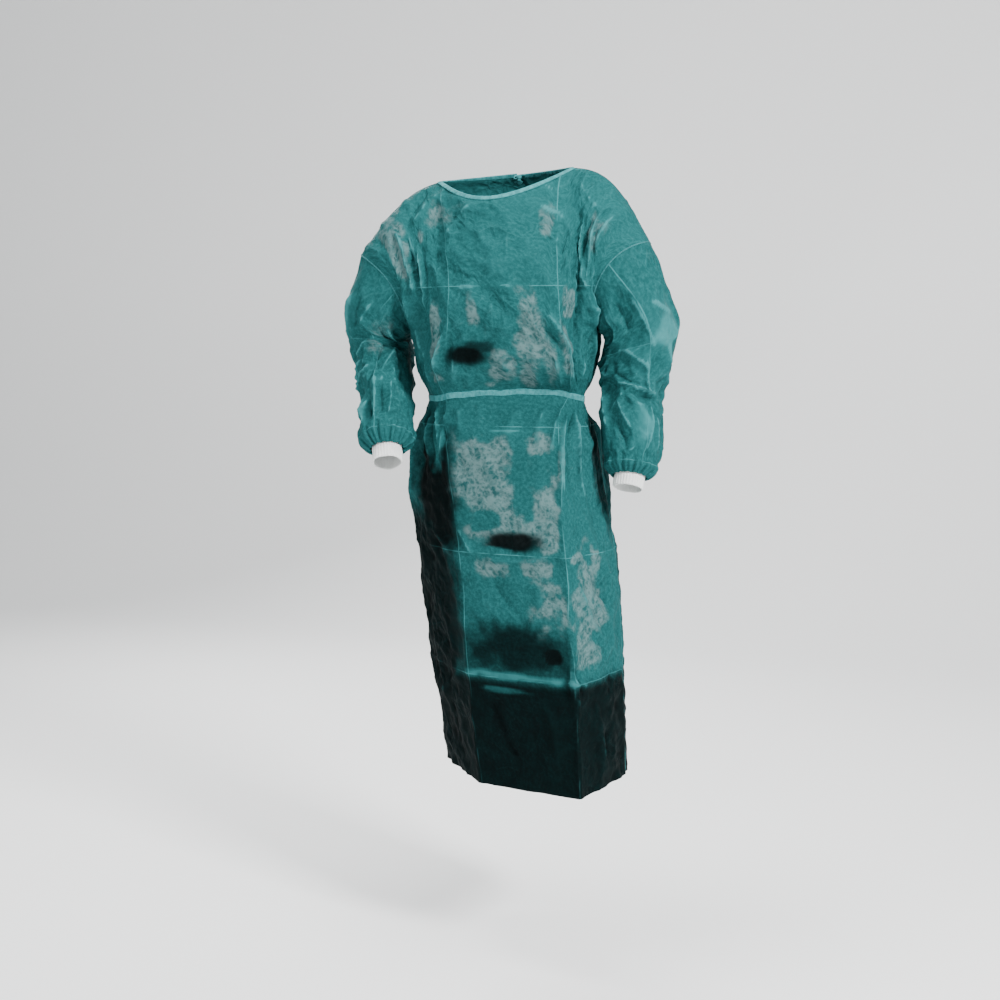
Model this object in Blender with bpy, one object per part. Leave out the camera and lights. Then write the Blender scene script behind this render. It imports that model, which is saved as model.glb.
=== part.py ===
"""A visitor gown of thin teal nonwoven cloth with white knitted cuffs, in the hollow form it takes when worn.

The gown is cut as a front, two backs that overlap at the middle, and two sleeves set in at a dropped
shoulder. Tape binds the neck and ties behind it, and a belt of the same cloth ties at the back waist.
Everything is in metres, +Z up. The wearer faces -Y, so the wearer's left is +X. The origin is the middle
of the neck opening at the height of the shoulders, where the wearer carries the gown.
"""

import math
from collections import namedtuple

import bpy
import numpy as np

# Walls and gaps
CLOTH_WALL = 0.0015
KNIT_WALL = 0.0020
TAPE_WALL = 0.0012
SEAM_GAP = 0.0003
UNDERARM_EASE = 0.0005
SHARP_SEAM, FLAT_SEAM = -0.2, 0.6
LYING_GAP = 0.0004
UNDERLAP_STEP = 0.0055

# Heights of the worn gown
HEM_HEIGHT = -1.200
BELT_HEIGHT = -0.445
BELT_HALF_WIDTH = 0.006
ARMPIT_HEIGHT = -0.310
CREASE_HEIGHTS = (-0.985, -0.740, -0.500)
CREASE_LIFT = 0.0025
CREASE_HALF_WIDTH = 0.010

# Neck and shoulders
NECK_LEFT = (0.142, 0.004, 0.003)
NECK_RIGHT = (-0.134, 0.004, -0.016)
NECK_FRONT_DROP = (0.0, -0.092, -0.050)
NECK_BACK_DROP = (0.0, 0.074, 0.006)
TIP_LEFT = (0.297, 0.002, -0.144)
TIP_RIGHT = (-0.303, 0.002, -0.158)
SHOULDER_BOW = 0.006
SHOULDER_ARCH_LEFT = 0.042
SHOULDER_ARCH_RIGHT = 0.032
MIDDLE_REACH = 0.9
CHEST_BOW = 0.01
SHOULDER_OVER, NECK_OVER = 0.13, 0.08
SHOULDER_RISE, NECK_RISE = 0.02, 0.12
ARMHOLE_DEPTH = 0.089
ARMHOLE_HOLLOW_LEFT = (-0.016, 0.0, 0.024)
ARMHOLE_HOLLOW_RIGHT = (0.034, 0.0, 0.016)

# Grid of the panels
SIDE_COLUMNS = 8
FRONT_COLUMNS = 10
BACK_COLUMNS = 6
YOKE_ROWS = 15

# The backs reach one strip towards each other up to the armpits, and this share of it at the neck.
# The right back lies under the left one, sunk over this many strips.
NECK_REACH = 0.494
UNDERLAP_STRIPS = 0.9
UNDERLAP_STRIPS_NECK = 0.45

# The cloth is folded into strips along its length, and a place round the body is counted in strips:
# 0 is the wearer's right side seam, 1 and 2 the front fold lines under the two ends of the neck,
# 3 the left side seam, 4 and 5 stand behind 2 and 1, and 6 is the right side seam again.
# Each row says where those six lines stand at one height, and how sharp the two at the front are.
Section = namedtuple(
    "Section",
    "height sharp "
    "right_x right_y front_right_x front_right_y front_left_x front_left_y "
    "left_x left_y back_left_x back_left_y back_right_x back_right_y",
)
BODY_SECTIONS = (
    Section(HEM_HEIGHT, 0.8,
            -0.13, 0.035, 0.002, -0.158, 0.22, -0.209, 0.257, 0.005, 0.18, 0.122, 0, 0.13),
    Section(-0.985, 0.7,
            -0.166, 0.035, -0.026, -0.147, 0.205, -0.193, 0.248, 0.01, 0.165, 0.126, -0.04, 0.134),
    Section(-0.74, 0.6,
            -0.198, 0.035, -0.055, -0.137, 0.18, -0.17, 0.228, 0.012, 0.145, 0.13, -0.085, 0.135),
    Section(-0.6, 0.5,
            -0.205, 0.03, -0.074, -0.125, 0.164, -0.145, 0.203, 0.012, 0.125, 0.126, -0.1, 0.13),
    Section(-0.52, 0.4,
            -0.19, 0.025, -0.078, -0.116, 0.16, -0.126, 0.19, 0.012, 0.112, 0.114, -0.098, 0.116),
    Section(BELT_HEIGHT, 0.1,
            -0.16, 0.018, -0.081, -0.102, 0.152, -0.06, 0.163, 0.005, 0.088, 0.098, -0.086, 0.098),
    Section(-0.4, 0.2,
            -0.176, 0.015, -0.086, -0.122, 0.158, -0.098, 0.179, 0.006, 0.104, 0.112, -0.104, 0.112),
    Section(ARMPIT_HEIGHT, 0.2,
            -0.192, 0.01, -0.074, -0.142, 0.152, -0.136, 0.19, 0.004, 0.115, 0.118, -0.115, 0.118),
)

# How the belt holds the cloth: it flattens the folds, rides up at one place on the front and sags elsewhere.
BELT_HOLD = 0.9
BELT_HOLD_HEIGHT = 0.02
BELT_RISE = 0.017
BELT_RISE_PLACE = 1.6
BELT_RISE_WIDTH = 0.62
BELT_RISE_HEIGHT = 0.07
BELT_SAG = 0.005

# Folds fade in and out over this height, and stay this many strips off the seams; close to the shoulders
# they fade over this many levels, and the belt's pull is gone this far below the armpits.
FOLD_FADE = 0.09
SEAM_STILL = 0.16
SHOULDER_FADE = 0.25
ARMPIT_FADE = 0.05

# Rows of the grid between these heights; the creases and both edges of the belt are on rows.
Band = namedtuple("Band", "bottom top rows")
BODY_BANDS = (
    Band(HEM_HEIGHT, -0.985, 4),
    Band(-0.985, -0.740, 4),
    Band(-0.740, -0.500, 5),
    Band(-0.500, BELT_HEIGHT - BELT_HALF_WIDTH, 2),
    Band(BELT_HEIGHT - BELT_HALF_WIDTH, BELT_HEIGHT + BELT_HALF_WIDTH, 1),
    Band(BELT_HEIGHT + BELT_HALF_WIDTH, ARMPIT_HEIGHT, 4),
)

# The largest folds. place and width are in strips, depth is the rise (a trough is negative),
# drift says how many strips the fold slants towards the wearer's left for each metre down.
Fold = namedtuple("Fold", "place width depth top bottom drift")
BODY_FOLDS = (
    Fold(0.30, 0.12, 0.011, -0.120, -0.430, 0.3),
    Fold(0.56, 0.11, -0.009, -0.130, -0.430, 0.2),
    Fold(0.82, 0.11, 0.006, -0.180, -0.430, 0.0),
    Fold(1.25, 0.13, 0.004, -0.080, -0.300, -1.2),
    Fold(2.36, 0.12, -0.008, -0.100, -0.430, 0.0),
    Fold(2.58, 0.12, 0.012, -0.100, -0.430, 0.3),
    Fold(0.22, 0.12, 0.010, -0.450, -0.720, -0.1),
    Fold(0.48, 0.11, -0.010, -0.450, -0.640, 0.0),
    Fold(0.70, 0.11, 0.011, -0.450, -0.600, 0.2),
    Fold(1.22, 0.10, 0.005, -0.450, -0.560, 0.5),
    Fold(2.25, 0.11, -0.008, -0.450, -0.700, 0.2),
    Fold(2.50, 0.11, 0.010, -0.450, -0.640, 0.3),
    Fold(2.76, 0.11, -0.008, -0.450, -0.640, 0.0),
    Fold(3.25, 0.12, 0.010, -0.140, -0.700, 0.1),
    Fold(3.52, 0.12, -0.009, -0.160, -0.620, 0.0),
    Fold(3.80, 0.12, 0.009, -0.220, -0.780, 0.1),
    Fold(5.18, 0.12, 0.008, -0.220, -0.700, -0.1),
    Fold(5.46, 0.12, -0.009, -0.160, -0.640, 0.0),
    Fold(5.74, 0.12, 0.010, -0.290, -0.760, 0.1),
)

# The sleeves from below the armhole to the wrist seam. across is the half-width from inner to outer side,
# deep the half-width from back to front, lean how many degrees the outer side stands above the inner
# one, and ruffle the height of the gathers.
SleeveSection = namedtuple("SleeveSection", "x y z across deep lean ruffle")
SLEEVE_LEFT = (
    SleeveSection(0.2680, 0.006, -0.275, 0.080, 0.084, 42.0, 0.0),
    SleeveSection(0.2770, 0.014, -0.330, 0.080, 0.079, 20.0, 0.0),
    SleeveSection(0.2700, 0.012, -0.392, 0.070, 0.074, 8.0, 0.0),
    SleeveSection(0.2630, 0.004, -0.445, 0.058, 0.068, 0.0, 0.0),
    SleeveSection(0.2690, -0.018, -0.500, 0.061, 0.068, 0.0, 0.0),
    SleeveSection(0.2750, -0.040, -0.548, 0.057, 0.061, 0.0, 0.0006),
    SleeveSection(0.2765, -0.049, -0.568, 0.050, 0.052, 0.0, 0.0018),
    SleeveSection(0.2770, -0.053, -0.580, 0.050, 0.051, 0.0, 0.0034),
    SleeveSection(0.2768, -0.057, -0.590, 0.041, 0.042, 0.0, 0.0042),
    SleeveSection(0.2762, -0.060, -0.597, 0.0312, 0.0312, 0.0, 0.0042),
)
SLEEVE_RIGHT = (
    SleeveSection(-0.2640, 0.006, -0.282, 0.075, 0.084, 40.0, 0.0),
    SleeveSection(-0.2720, 0.012, -0.332, 0.067, 0.076, 14.0, 0.0),
    SleeveSection(-0.2540, -0.008, -0.385, 0.055, 0.070, -6.0, 0.0),
    SleeveSection(-0.2330, -0.048, -0.435, 0.051, 0.064, -18.0, 0.0),
    SleeveSection(-0.2170, -0.084, -0.480, 0.051, 0.060, -20.0, 0.0),
    SleeveSection(-0.2100, -0.108, -0.512, 0.052, 0.055, -18.0, 0.0008),
    SleeveSection(-0.2065, -0.117, -0.524, 0.056, 0.057, -16.0, 0.0024),
    SleeveSection(-0.2045, -0.123, -0.533, 0.052, 0.053, -16.0, 0.0036),
    SleeveSection(-0.2020, -0.129, -0.542, 0.042, 0.043, -16.0, 0.0042),
    SleeveSection(-0.2000, -0.133, -0.549, 0.0312, 0.0312, -16.0, 0.0042),
)
SLEEVE_RINGS = (0, 0.5, 1, 1.5, 2, 2.5, 3, 3.5, 4, 4.5, 5, 5.5, 6, 7, 8, 9, 10)
GATHERS = 15

# The folds of a sleeve fade out over this many sections at the armhole, and again above the gathers.
ARMHOLE_STILL = 0.8
GATHERS_START = 6.5
GATHERS_FADE = 1.5

# Folds of the sleeves. along counts the sections down the sleeve from 0 at the armhole, turn is in
# degrees from the inner side through the front, slant is degrees for each section.
SleeveFold = namedtuple("SleeveFold", "along turn length width depth slant")
SLEEVE_FOLDS_LEFT = (
    SleeveFold(1.4, 118, 1.2, 20, 0.007, 12),
    SleeveFold(2.5, 70, 1.0, 22, -0.006, -20),
    SleeveFold(3.6, 150, 0.8, 22, 0.006, 10),
    SleeveFold(4.7, 100, 1.1, 18, 0.007, -6),
    SleeveFold(4.6, 60, 0.9, 18, -0.006, 8),
    SleeveFold(2.0, 250, 1.6, 24, 0.008, 10),
    SleeveFold(4.2, 290, 1.2, 22, -0.007, -8),
)
SLEEVE_FOLDS_RIGHT = (
    SleeveFold(1.3, 95, 1.1, 20, 0.007, -14),
    SleeveFold(2.6, 110, 0.8, 22, -0.007, 16),
    SleeveFold(2.9, 165, 0.6, 18, 0.006, -10),
    SleeveFold(3.6, 150, 0.6, 18, -0.006, 10),
    SleeveFold(4.5, 85, 1.2, 18, 0.007, 4),
    SleeveFold(2.2, 260, 1.6, 24, 0.008, -10),
    SleeveFold(4.2, 300, 1.2, 22, -0.007, 8),
)

# Cuffs, the tape that binds the neck, and the ties
CUFF_RADIUS = 0.0287
CUFF_RIB = 0.0009
CUFF_RIBS = 24
CUFF_TUCK = 0.014
CUFF_SHOWN_LEFT = 0.023
CUFF_SHOWN_RIGHT = 0.030
BINDING_WIDTH = 0.009
BINDING_GAP = 0.0005
BINDING_PROUD = 0.0008
TIE_WIDTH = 0.010
TIE_APART = 0.0056
NECK_KNOT_SIZE = (0.020, 0.009, 0.014)
BELT_KNOT_SIZE = (0.024, 0.011, 0.018)
KNOT_RINGS = 8
KNOT_COLUMNS = 14
KNOT_TURNS = 3
KNOT_DENT = 0.08
TAIL_STATIONS = 10
TAIL_LIFT = 0.0032
TAIL_SETTLE = 0.25
NECK_TIE_LEVEL = 1.975
YOKE_STRETCH = 2.7
SMALL_STEP = 0.01

# The free ends of the ties. drift is how far one strays sideways on its way down, in strips, and tuck
# how far it starts up beside the lowest point of its knot.
Tail = namedtuple("Tail", "side length drift tuck")
NECK_TAILS = (Tail("left", 0.17, -0.16, 0.0012), Tail("right", 0.20, 0.22, 0.0015))
BELT_TAILS = (Tail("left", 0.30, -0.20, 0.0008), Tail("right", 0.34, 0.15, 0.0))

TEAL = (0.030, 0.215, 0.205, 1.0)
LIGHT_TEAL = (0.080, 0.340, 0.340, 1.0)
KNIT_WHITE = (0.840, 0.840, 0.820, 1.0)


def unit(vectors):
    """The same directions with a length of one."""
    return vectors / np.linalg.norm(vectors, axis=-1, keepdims=True)


def smooth_step(t):
    """Rises from 0 to 1 with no slope at either end."""
    t = np.clip(t, 0.0, 1.0)
    return t * t * (3 - 2 * t)


def hermite(start, end, leave, arrive, t):
    """The smooth curve from start to end that leaves and arrives with the given velocities."""
    rise = t * t * (3 - 2 * t)
    return start * (1 - rise) + end * rise + leave * t * (1 - t) ** 2 + arrive * t * t * (t - 1)


def smooth_through(at, known_at, known):
    """A smooth curve through known values, read at the given places."""
    known_at = np.asarray(known_at, float)
    known = np.asarray(known, float)
    slopes = np.gradient(known, known_at, axis=0)
    i = np.clip(np.searchsorted(known_at, at, side="right") - 1, 0, len(known_at) - 2)
    span = known_at[i + 1] - known_at[i]
    t = (at - known_at[i]) / span
    t, span = (a.reshape(a.shape + (1,) * (known.ndim - 1)) for a in (t, span))
    return hermite(known[i], known[i + 1], span * slopes[i], span * slopes[i + 1], t)


def fold_lines(height):
    """Where the six lines of BODY_SECTIONS stand at these heights, and how sharp the front two are."""
    table = smooth_through(height, [s.height for s in BODY_SECTIONS], [s[1:] for s in BODY_SECTIONS])
    return table[..., 1:].reshape(table.shape[:-1] + (6, 2)), table[..., :1]


def ring_points(place, height):
    """The worn tube below the armpits: a smooth closed curve past the six lines, drawn to corners."""
    lines, sharp = fold_lines(height)
    chords = np.roll(lines, -1, axis=-2) - lines
    chords_before = np.roll(chords, 1, axis=-2)
    strip = np.mod(np.floor(place), 6).astype(int)
    after = np.mod(strip + 1, 6)

    def pick(values, index):
        return np.take_along_axis(values, index[..., None, None], axis=-2)[..., 0, :]

    own_chord = pick(chords, strip)

    def velocity(index):
        corner = sharp * np.where((index == 1) | (index == 2), 1.0, 0.15)[..., None]
        rounded = (pick(chords, index) + pick(chords_before, index)) / 2
        return rounded * (1 - corner) + own_chord * corner

    share = (place - np.floor(place))[..., None]
    flat = hermite(pick(lines, strip), pick(lines, after), velocity(strip), velocity(after), share)
    return np.concatenate([flat, height[..., None]], axis=-1)


def shoulder_line(share, tip, neck, arch):
    """From the dropped shoulder's tip at share 0 to the neck at share 1, arched over the shoulder."""
    share = np.clip(share, 0, 1)[..., None]
    straight = (1 - share) * np.array(tip) + share * np.array(neck)
    return straight + np.array([0, SHOULDER_BOW, arch]) * np.sin(math.pi * share)


def neck_line(share, drop):
    """From the right end of the neck at share 0 to its left end at share 1, scooped by the drop."""
    share = np.clip(share, 0, 1)[..., None]
    straight = (1 - share) * np.array(NECK_RIGHT) + share * np.array(NECK_LEFT)
    return straight + np.array(drop) * np.sin(math.pi * share)


def top_edge(place):
    """The shoulder lines and the neck, for any place round the body."""
    strip = np.mod(np.floor(place), 6)[..., None]
    from_right = np.where(place < 3, place, 6 - place)
    from_left = np.abs(place - 3)
    right = shoulder_line(from_right, TIP_RIGHT, NECK_RIGHT, SHOULDER_ARCH_RIGHT)
    left = shoulder_line(from_left, TIP_LEFT, NECK_LEFT, SHOULDER_ARCH_LEFT)
    front = neck_line(place - 1, NECK_FRONT_DROP)
    back = neck_line(5 - place, NECK_BACK_DROP)
    return np.select([strip == 1, strip == 2, strip == 3, strip == 4], [front, left, left, back], right)


def armhole(turn, side):
    """The seam of a sleeve, a closed loop: turn 0 is under the arm, then the front, the tip and the back."""
    if side == "left":
        tip, hollow, place = TIP_LEFT, ARMHOLE_HOLLOW_LEFT, 3.0
    else:
        tip, hollow, place = TIP_RIGHT, ARMHOLE_HOLLOW_RIGHT, 0.0
    under = ring_points(np.array([place]), np.array([ARMPIT_HEIGHT]))[0]
    turn = np.asarray(turn, float)[..., None]
    middle = (np.array(tip) + under) / 2
    around = (under - np.array(tip)) / 2 * np.cos(turn) - np.array([0, ARMHOLE_DEPTH, 0]) * np.sin(turn)
    return middle + around + np.array(hollow) * np.sin(turn) ** 2


def yoke_points(place, share, forward):
    """Above the armpits: from the top ring at share 0 to the top edge at share 1, pulled to the armholes."""

    def lofted(at):
        low = ring_points(at, np.full_like(share, ARMPIT_HEIGHT))
        high = top_edge(at)
        near_middle = smooth_step(1 - np.minimum(np.abs(at - 1.5), np.abs(at - 4.5)) / MIDDLE_REACH)
        still = np.zeros_like(at)
        over = -forward * (SHOULDER_OVER + (NECK_OVER - SHOULDER_OVER) * near_middle)
        rise = SHOULDER_RISE + (NECK_RISE - SHOULDER_RISE) * near_middle
        leave = np.stack([still, still + CHEST_BOW * forward, high[..., 2] - low[..., 2]], axis=-1)
        arrive = np.stack([still, over, rise], axis=-1)
        return hermite(low, high, leave, arrive, share[..., None])

    points = lofted(place)
    for side, edge in (("right", 0.0 if forward < 0 else 6.0), ("left", 3.0)):
        hold = smooth_step(1 - np.abs(place - edge))[..., None]
        seam = armhole(-forward * math.pi * share, side)
        points = points + hold * (seam - lofted(np.full_like(place, edge)))
    return points


def fold_lift(place, height):
    """How far the folds lift each point outwards; the belt and the seams hold the cloth still."""
    lift = np.zeros_like(height)
    for fold in BODY_FOLDS:
        centre = fold.place + fold.drift * (fold.top - height)
        across = np.exp(-(((place - centre) / fold.width) ** 2))
        begins = smooth_step((fold.top - height) / FOLD_FADE)
        ends = smooth_step((height - fold.bottom) / FOLD_FADE)
        lift += fold.depth * across * begins * ends
    pinched = 1 - BELT_HOLD * np.exp(-(((height - BELT_HEIGHT) / BELT_HOLD_HEIGHT) ** 2))
    near_seam = np.abs(place - 3 * np.round(place / 3))
    return lift * pinched * smooth_step(near_seam / SEAM_STILL)


def belt_rise(place, height):
    """The belt rides up a little across the front and takes the cloth near it along."""
    near_belt = np.exp(-(((height - BELT_HEIGHT) / BELT_RISE_HEIGHT) ** 2))
    below_armpit = smooth_step((ARMPIT_HEIGHT - height) / ARMPIT_FADE)
    across = np.exp(-(((place - BELT_RISE_PLACE) / BELT_RISE_WIDTH) ** 2))
    return near_belt * below_armpit * (BELT_RISE * across - BELT_SAG)


def gown_points(place, level, forward):
    """The outer surface. level runs from 0 at the hem to 1 at the armpits and 2 at the shoulders and neck;
    forward is -1 for the front and 1 for the backs, which share the places of the seams."""
    height = HEM_HEIGHT + np.clip(level, 0, 1) * (ARMPIT_HEIGHT - HEM_HEIGHT)
    ring = ring_points(place, height)
    yoke = yoke_points(place, np.clip(level - 1, 0, 1), forward)
    points = np.where((level <= 1)[..., None], ring, yoke)
    outward = ring[..., :2] - fold_lines(height)[0].mean(axis=-2)
    lift = fold_lift(place, points[..., 2]) * smooth_step((2 - level) / SHOULDER_FADE)
    for crease in CREASE_HEIGHTS:
        lift = lift + CREASE_LIFT * np.clip(1 - np.abs(height - crease) / CREASE_HALF_WIDTH, 0, 1)
    points[..., :2] += unit(outward) * lift[..., None]
    points[..., 2] += belt_rise(place, height)
    return points


def panel_levels():
    """The level of each row of the panels, the number of the belt's lower row, and the yoke's shares."""
    heights = [HEM_HEIGHT]
    for band in BODY_BANDS:
        heights += list(np.linspace(band.bottom, band.top, band.rows + 1)[1:])
    heights = np.array(heights)
    belt_row = int(np.argmin(np.abs(heights - (BELT_HEIGHT - BELT_HALF_WIDTH))))
    shares = np.linspace(0, 1, YOKE_ROWS + 1)
    low = (heights - HEM_HEIGHT) / (ARMPIT_HEIGHT - HEM_HEIGHT)
    return np.concatenate([low, 1 + shares[1:]]), belt_row, shares


def panel_places(name, levels):
    """The place of each grid point of a panel, a row for each level."""
    side = np.linspace(0, 1, SIDE_COLUMNS + 1)
    if name == "front":
        row = np.concatenate([side, 1 + np.linspace(0, 1, FRONT_COLUMNS + 1)[1:], 2 + side[1:]])
        return np.repeat(row[None], len(levels), axis=0)
    reach = 1 - (1 - NECK_REACH) * np.clip(levels - 1, 0, 1)[:, None]
    share = np.linspace(0, 1, BACK_COLUMNS + 1)[1:]
    if name == "back_left":
        return np.concatenate([3 + side + 0 * reach, 4 + share * reach], axis=1)
    return np.concatenate([5 - share[::-1] * reach, 5 + side + 0 * reach], axis=1)


def sleeve_points(side, shares):
    """Smooth curves from the wrist up the sleeve, through the ring of each section to the armhole loop."""
    sections = SLEEVE_LEFT if side == "left" else SLEEVE_RIGHT
    folds = SLEEVE_FOLDS_LEFT if side == "left" else SLEEVE_FOLDS_RIGHT
    outward = 1.0 if side == "left" else -1.0
    turns = math.pi * np.concatenate([shares[:-1], 2 - shares[:0:-1]])
    centres = np.array([(s.x, s.y, s.z) for s in sections])
    rings = [armhole(turns, side)]
    for section, centre, heading in zip(sections, centres, np.gradient(centres, axis=0)):
        lean = math.radians(section.lean)
        out = np.array([outward * math.cos(lean), 0.0, math.sin(lean)])
        fore = unit(outward * np.cross(heading, out))
        ruffle = section.ruffle * (0.5 + 0.5 * np.cos(GATHERS * turns))
        across = -np.cos(turns) * (section.across + ruffle)
        deep = np.sin(turns) * (section.deep + ruffle)
        rings.append(centre + across[:, None] * out + deep[:, None] * fore)
    at = np.array(SLEEVE_RINGS, float)
    points = smooth_through(at, np.arange(len(rings)), np.stack(rings))
    away = unit(points - points.mean(axis=1, keepdims=True))
    at = at[:, None]
    still_ends = smooth_step(at / ARMHOLE_STILL) * smooth_step((GATHERS_START - at) / GATHERS_FADE)
    for fold in folds:
        centre = fold.turn + fold.slant * (at - fold.along)
        across = np.exp(-((((np.degrees(turns) - centre + 180) % 360 - 180) / fold.width) ** 2))
        run = np.exp(-(((at - fold.along) / fold.length) ** 2)) * still_ends
        points = points + (fold.depth * across * run)[..., None] * away
    return points[::-1] if side == "left" else points[::-1, ::-1]


def grid_triangles(rows, columns, closed):
    """Two triangles for each cell of a grid, wound so that columns to the right and rows upwards face out."""
    last = columns if closed else columns - 1
    r, c = np.meshgrid(np.arange(rows - 1), np.arange(last), indexing="ij")
    r, c = r.ravel(), c.ravel()
    d = (c + 1) % columns
    low, low_next = r * columns + c, r * columns + d
    high, high_next = low + columns, low_next + columns
    lower = np.stack([low, low_next, high_next], axis=1)
    upper = np.stack([low, high_next, high], axis=1)
    return np.concatenate([lower, upper])


def joined_normals(grids):
    """The outward direction at each grid point, averaged over every surface that meets there."""
    points = np.concatenate([grid.reshape(-1, 3) for grid, closed in grids.values()])
    owner = np.unique(np.round(points / 1e-6).astype(np.int64), axis=0, return_inverse=True)[1].ravel()
    sums = np.zeros((owner.max() + 1, 3))
    start = 0
    for grid, closed in grids.values():
        tris = grid_triangles(grid.shape[0], grid.shape[1], closed) + start
        corner = points[tris]
        face = np.cross(corner[:, 1] - corner[:, 0], corner[:, 2] - corner[:, 0])
        for k in range(3):
            np.add.at(sums, owner[tris[:, k]], face)
        start += grid.shape[0] * grid.shape[1]
    normals = {}
    start = 0
    for name, (grid, closed) in grids.items():
        end = start + grid.shape[0] * grid.shape[1]
        normals[name] = unit(sums[owner[start:end]]).reshape(grid.shape)
        start = end
    return normals


def settle_armholes(grids, armpit_row):
    """The outward directions of every grid, and the sleeves with their tops settled at the armholes.
    A sleeve and the body share their direction along the seam, except under the arm: there they meet
    at a sharp angle, so each keeps its own and the sleeve starts a little further down."""
    normals = joined_normals({name: grids[name] for name in ("front", "back_left", "back_right")})
    sleeves = {}
    for side, front_column in (("left", -1), ("right", 0)):
        name = "sleeve_" + side
        sleeve = grids[name][0].copy()
        own = joined_normals({name: grids[name]})[name]
        seam = own[-1].copy()
        way = unit(sleeve[-2] - sleeve[-1])
        for panel, column in (("front", front_column), ("back_" + side, -1 - front_column)):
            edge = grids[panel][0][armpit_row:, column]
            turn = np.argmin(np.linalg.norm(edge[:, None] - grids[name][0][-1], axis=-1), axis=1)
            body = normals[panel][armpit_row:, column].copy()
            likeness = (body * own[-1, turn]).sum(axis=-1, keepdims=True)
            agree = smooth_step((likeness - SHARP_SEAM) / (FLAT_SEAM - SHARP_SEAM))
            shared = body + own[-1, turn]
            normals[panel][armpit_row:, column] = unit(body * (1 - agree) + shared * agree)
            seam[turn] = unit(own[-1, turn] * (1 - agree) + shared * agree)
            sleeve[-1, turn] = grids[name][0][-1, turn] + way[turn] * UNDERARM_EASE * (1 - agree)
        own[-1] = seam
        normals[name] = own
        sleeves[name] = (sleeve, True)
    return normals, sleeves


def drawn_back(grid, closed):
    """The grid with its edges drawn back by half a seam gap."""
    drawn = grid.copy()

    def step(edge, inside):
        return unit(grid[inside] - grid[edge]) * SEAM_GAP / 2

    drawn[0] += step(0, 1)
    drawn[-1] += step(-1, -2)
    if not closed:
        drawn[:, 0] += step(np.s_[:, 0], np.s_[:, 1])
        drawn[:, -1] += step(np.s_[:, -1], np.s_[:, -2])
    return drawn


def wall_mesh(outer, inner, closed):
    """A closed wall between two grids of the same size: both faces and the rims that join them."""
    rows, columns = outer.shape[:2]
    count = rows * columns
    face = grid_triangles(rows, columns, closed)
    triangles = [face, face[:, ::-1] + count]
    index = np.arange(count).reshape(rows, columns)
    edges = [index[0], index[-1][::-1]]
    if not closed:
        edges += [index[:, -1], index[::-1, 0]]
    for line in edges:
        start, end = (line, np.roll(line, -1)) if closed else (line[:-1], line[1:])
        triangles.append(np.stack([start, start + count, end + count], axis=1))
        triangles.append(np.stack([start, end + count, end], axis=1))
    return np.concatenate([outer.reshape(-1, 3), inner.reshape(-1, 3)]), np.concatenate(triangles)


def add_piece(name, vertices, triangles, material):
    """One named solid with its own material, its faces turned outwards."""
    corner = vertices[triangles]
    volume = np.einsum("ij,ij->", corner[:, 0], np.cross(corner[:, 1], corner[:, 2]))
    triangles = triangles if volume > 0 else triangles[:, ::-1]
    mesh = bpy.data.meshes.new(name)
    mesh.from_pydata(vertices.tolist(), [], triangles.tolist())
    mesh.materials.append(material)
    mesh.shade_smooth()
    mesh.set_sharp_from_angle(angle=math.radians(50))
    bpy.context.scene.collection.objects.link(bpy.data.objects.new(name, mesh))


def make_material(name, colour, roughness):
    material = bpy.data.materials.new(name)
    material.use_nodes = True
    shader = material.node_tree.nodes["Principled BSDF"]
    shader.inputs["Base Color"].default_value = colour
    shader.inputs["Roughness"].default_value = roughness
    shader.inputs["Metallic"].default_value = 0.0
    return material


def underlapped(grid, normals, places, levels):
    """The right back moved in under the left one, and level with it again at its side and shoulder seams."""
    share = np.clip(levels - 1, 0, 1)[:, None]
    strips = UNDERLAP_STRIPS + (UNDERLAP_STRIPS_NECK - UNDERLAP_STRIPS) * share
    under = smooth_step((6 - share - places) / strips)
    return grid - UNDERLAP_STEP * under[..., None] * normals


def make_panels(grids, normals, material):
    """The front, the two backs and the sleeves: walls with their edges drawn back at the seams."""
    for name, (grid, closed) in grids.items():
        inner = grid - CLOTH_WALL * normals[name]
        add_piece(name, *wall_mesh(drawn_back(grid, closed), drawn_back(inner, closed), closed), material)


def make_cuff(side, shown, grid, material):
    """A ribbed knitted tube, tucked into the gathered end of the sleeve; its inside is plain."""
    end = grid[0].mean(axis=0)
    heading = unit(end - grid[2].mean(axis=0))
    across = grid[0][0] - end
    across = unit(across - heading * across.dot(heading))
    turn = np.arange(2 * CUFF_RIBS) * math.pi / CUFF_RIBS
    ring = np.cos(turn)[:, None] * across + np.sin(turn)[:, None] * np.cross(across, heading)
    rib = CUFF_RIB * (np.arange(2 * CUFF_RIBS) % 2)[:, None]
    stations = (shown, shown / 2, 0.0, -CUFF_TUCK)
    outer = np.stack([end + heading * s + ring * (CUFF_RADIUS + rib) for s in stations])
    inner = np.stack([end + heading * s + ring * (CUFF_RADIUS - KNIT_WALL) for s in stations])
    add_piece("cuff_" + side, *wall_mesh(outer, inner, True), material)


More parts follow.
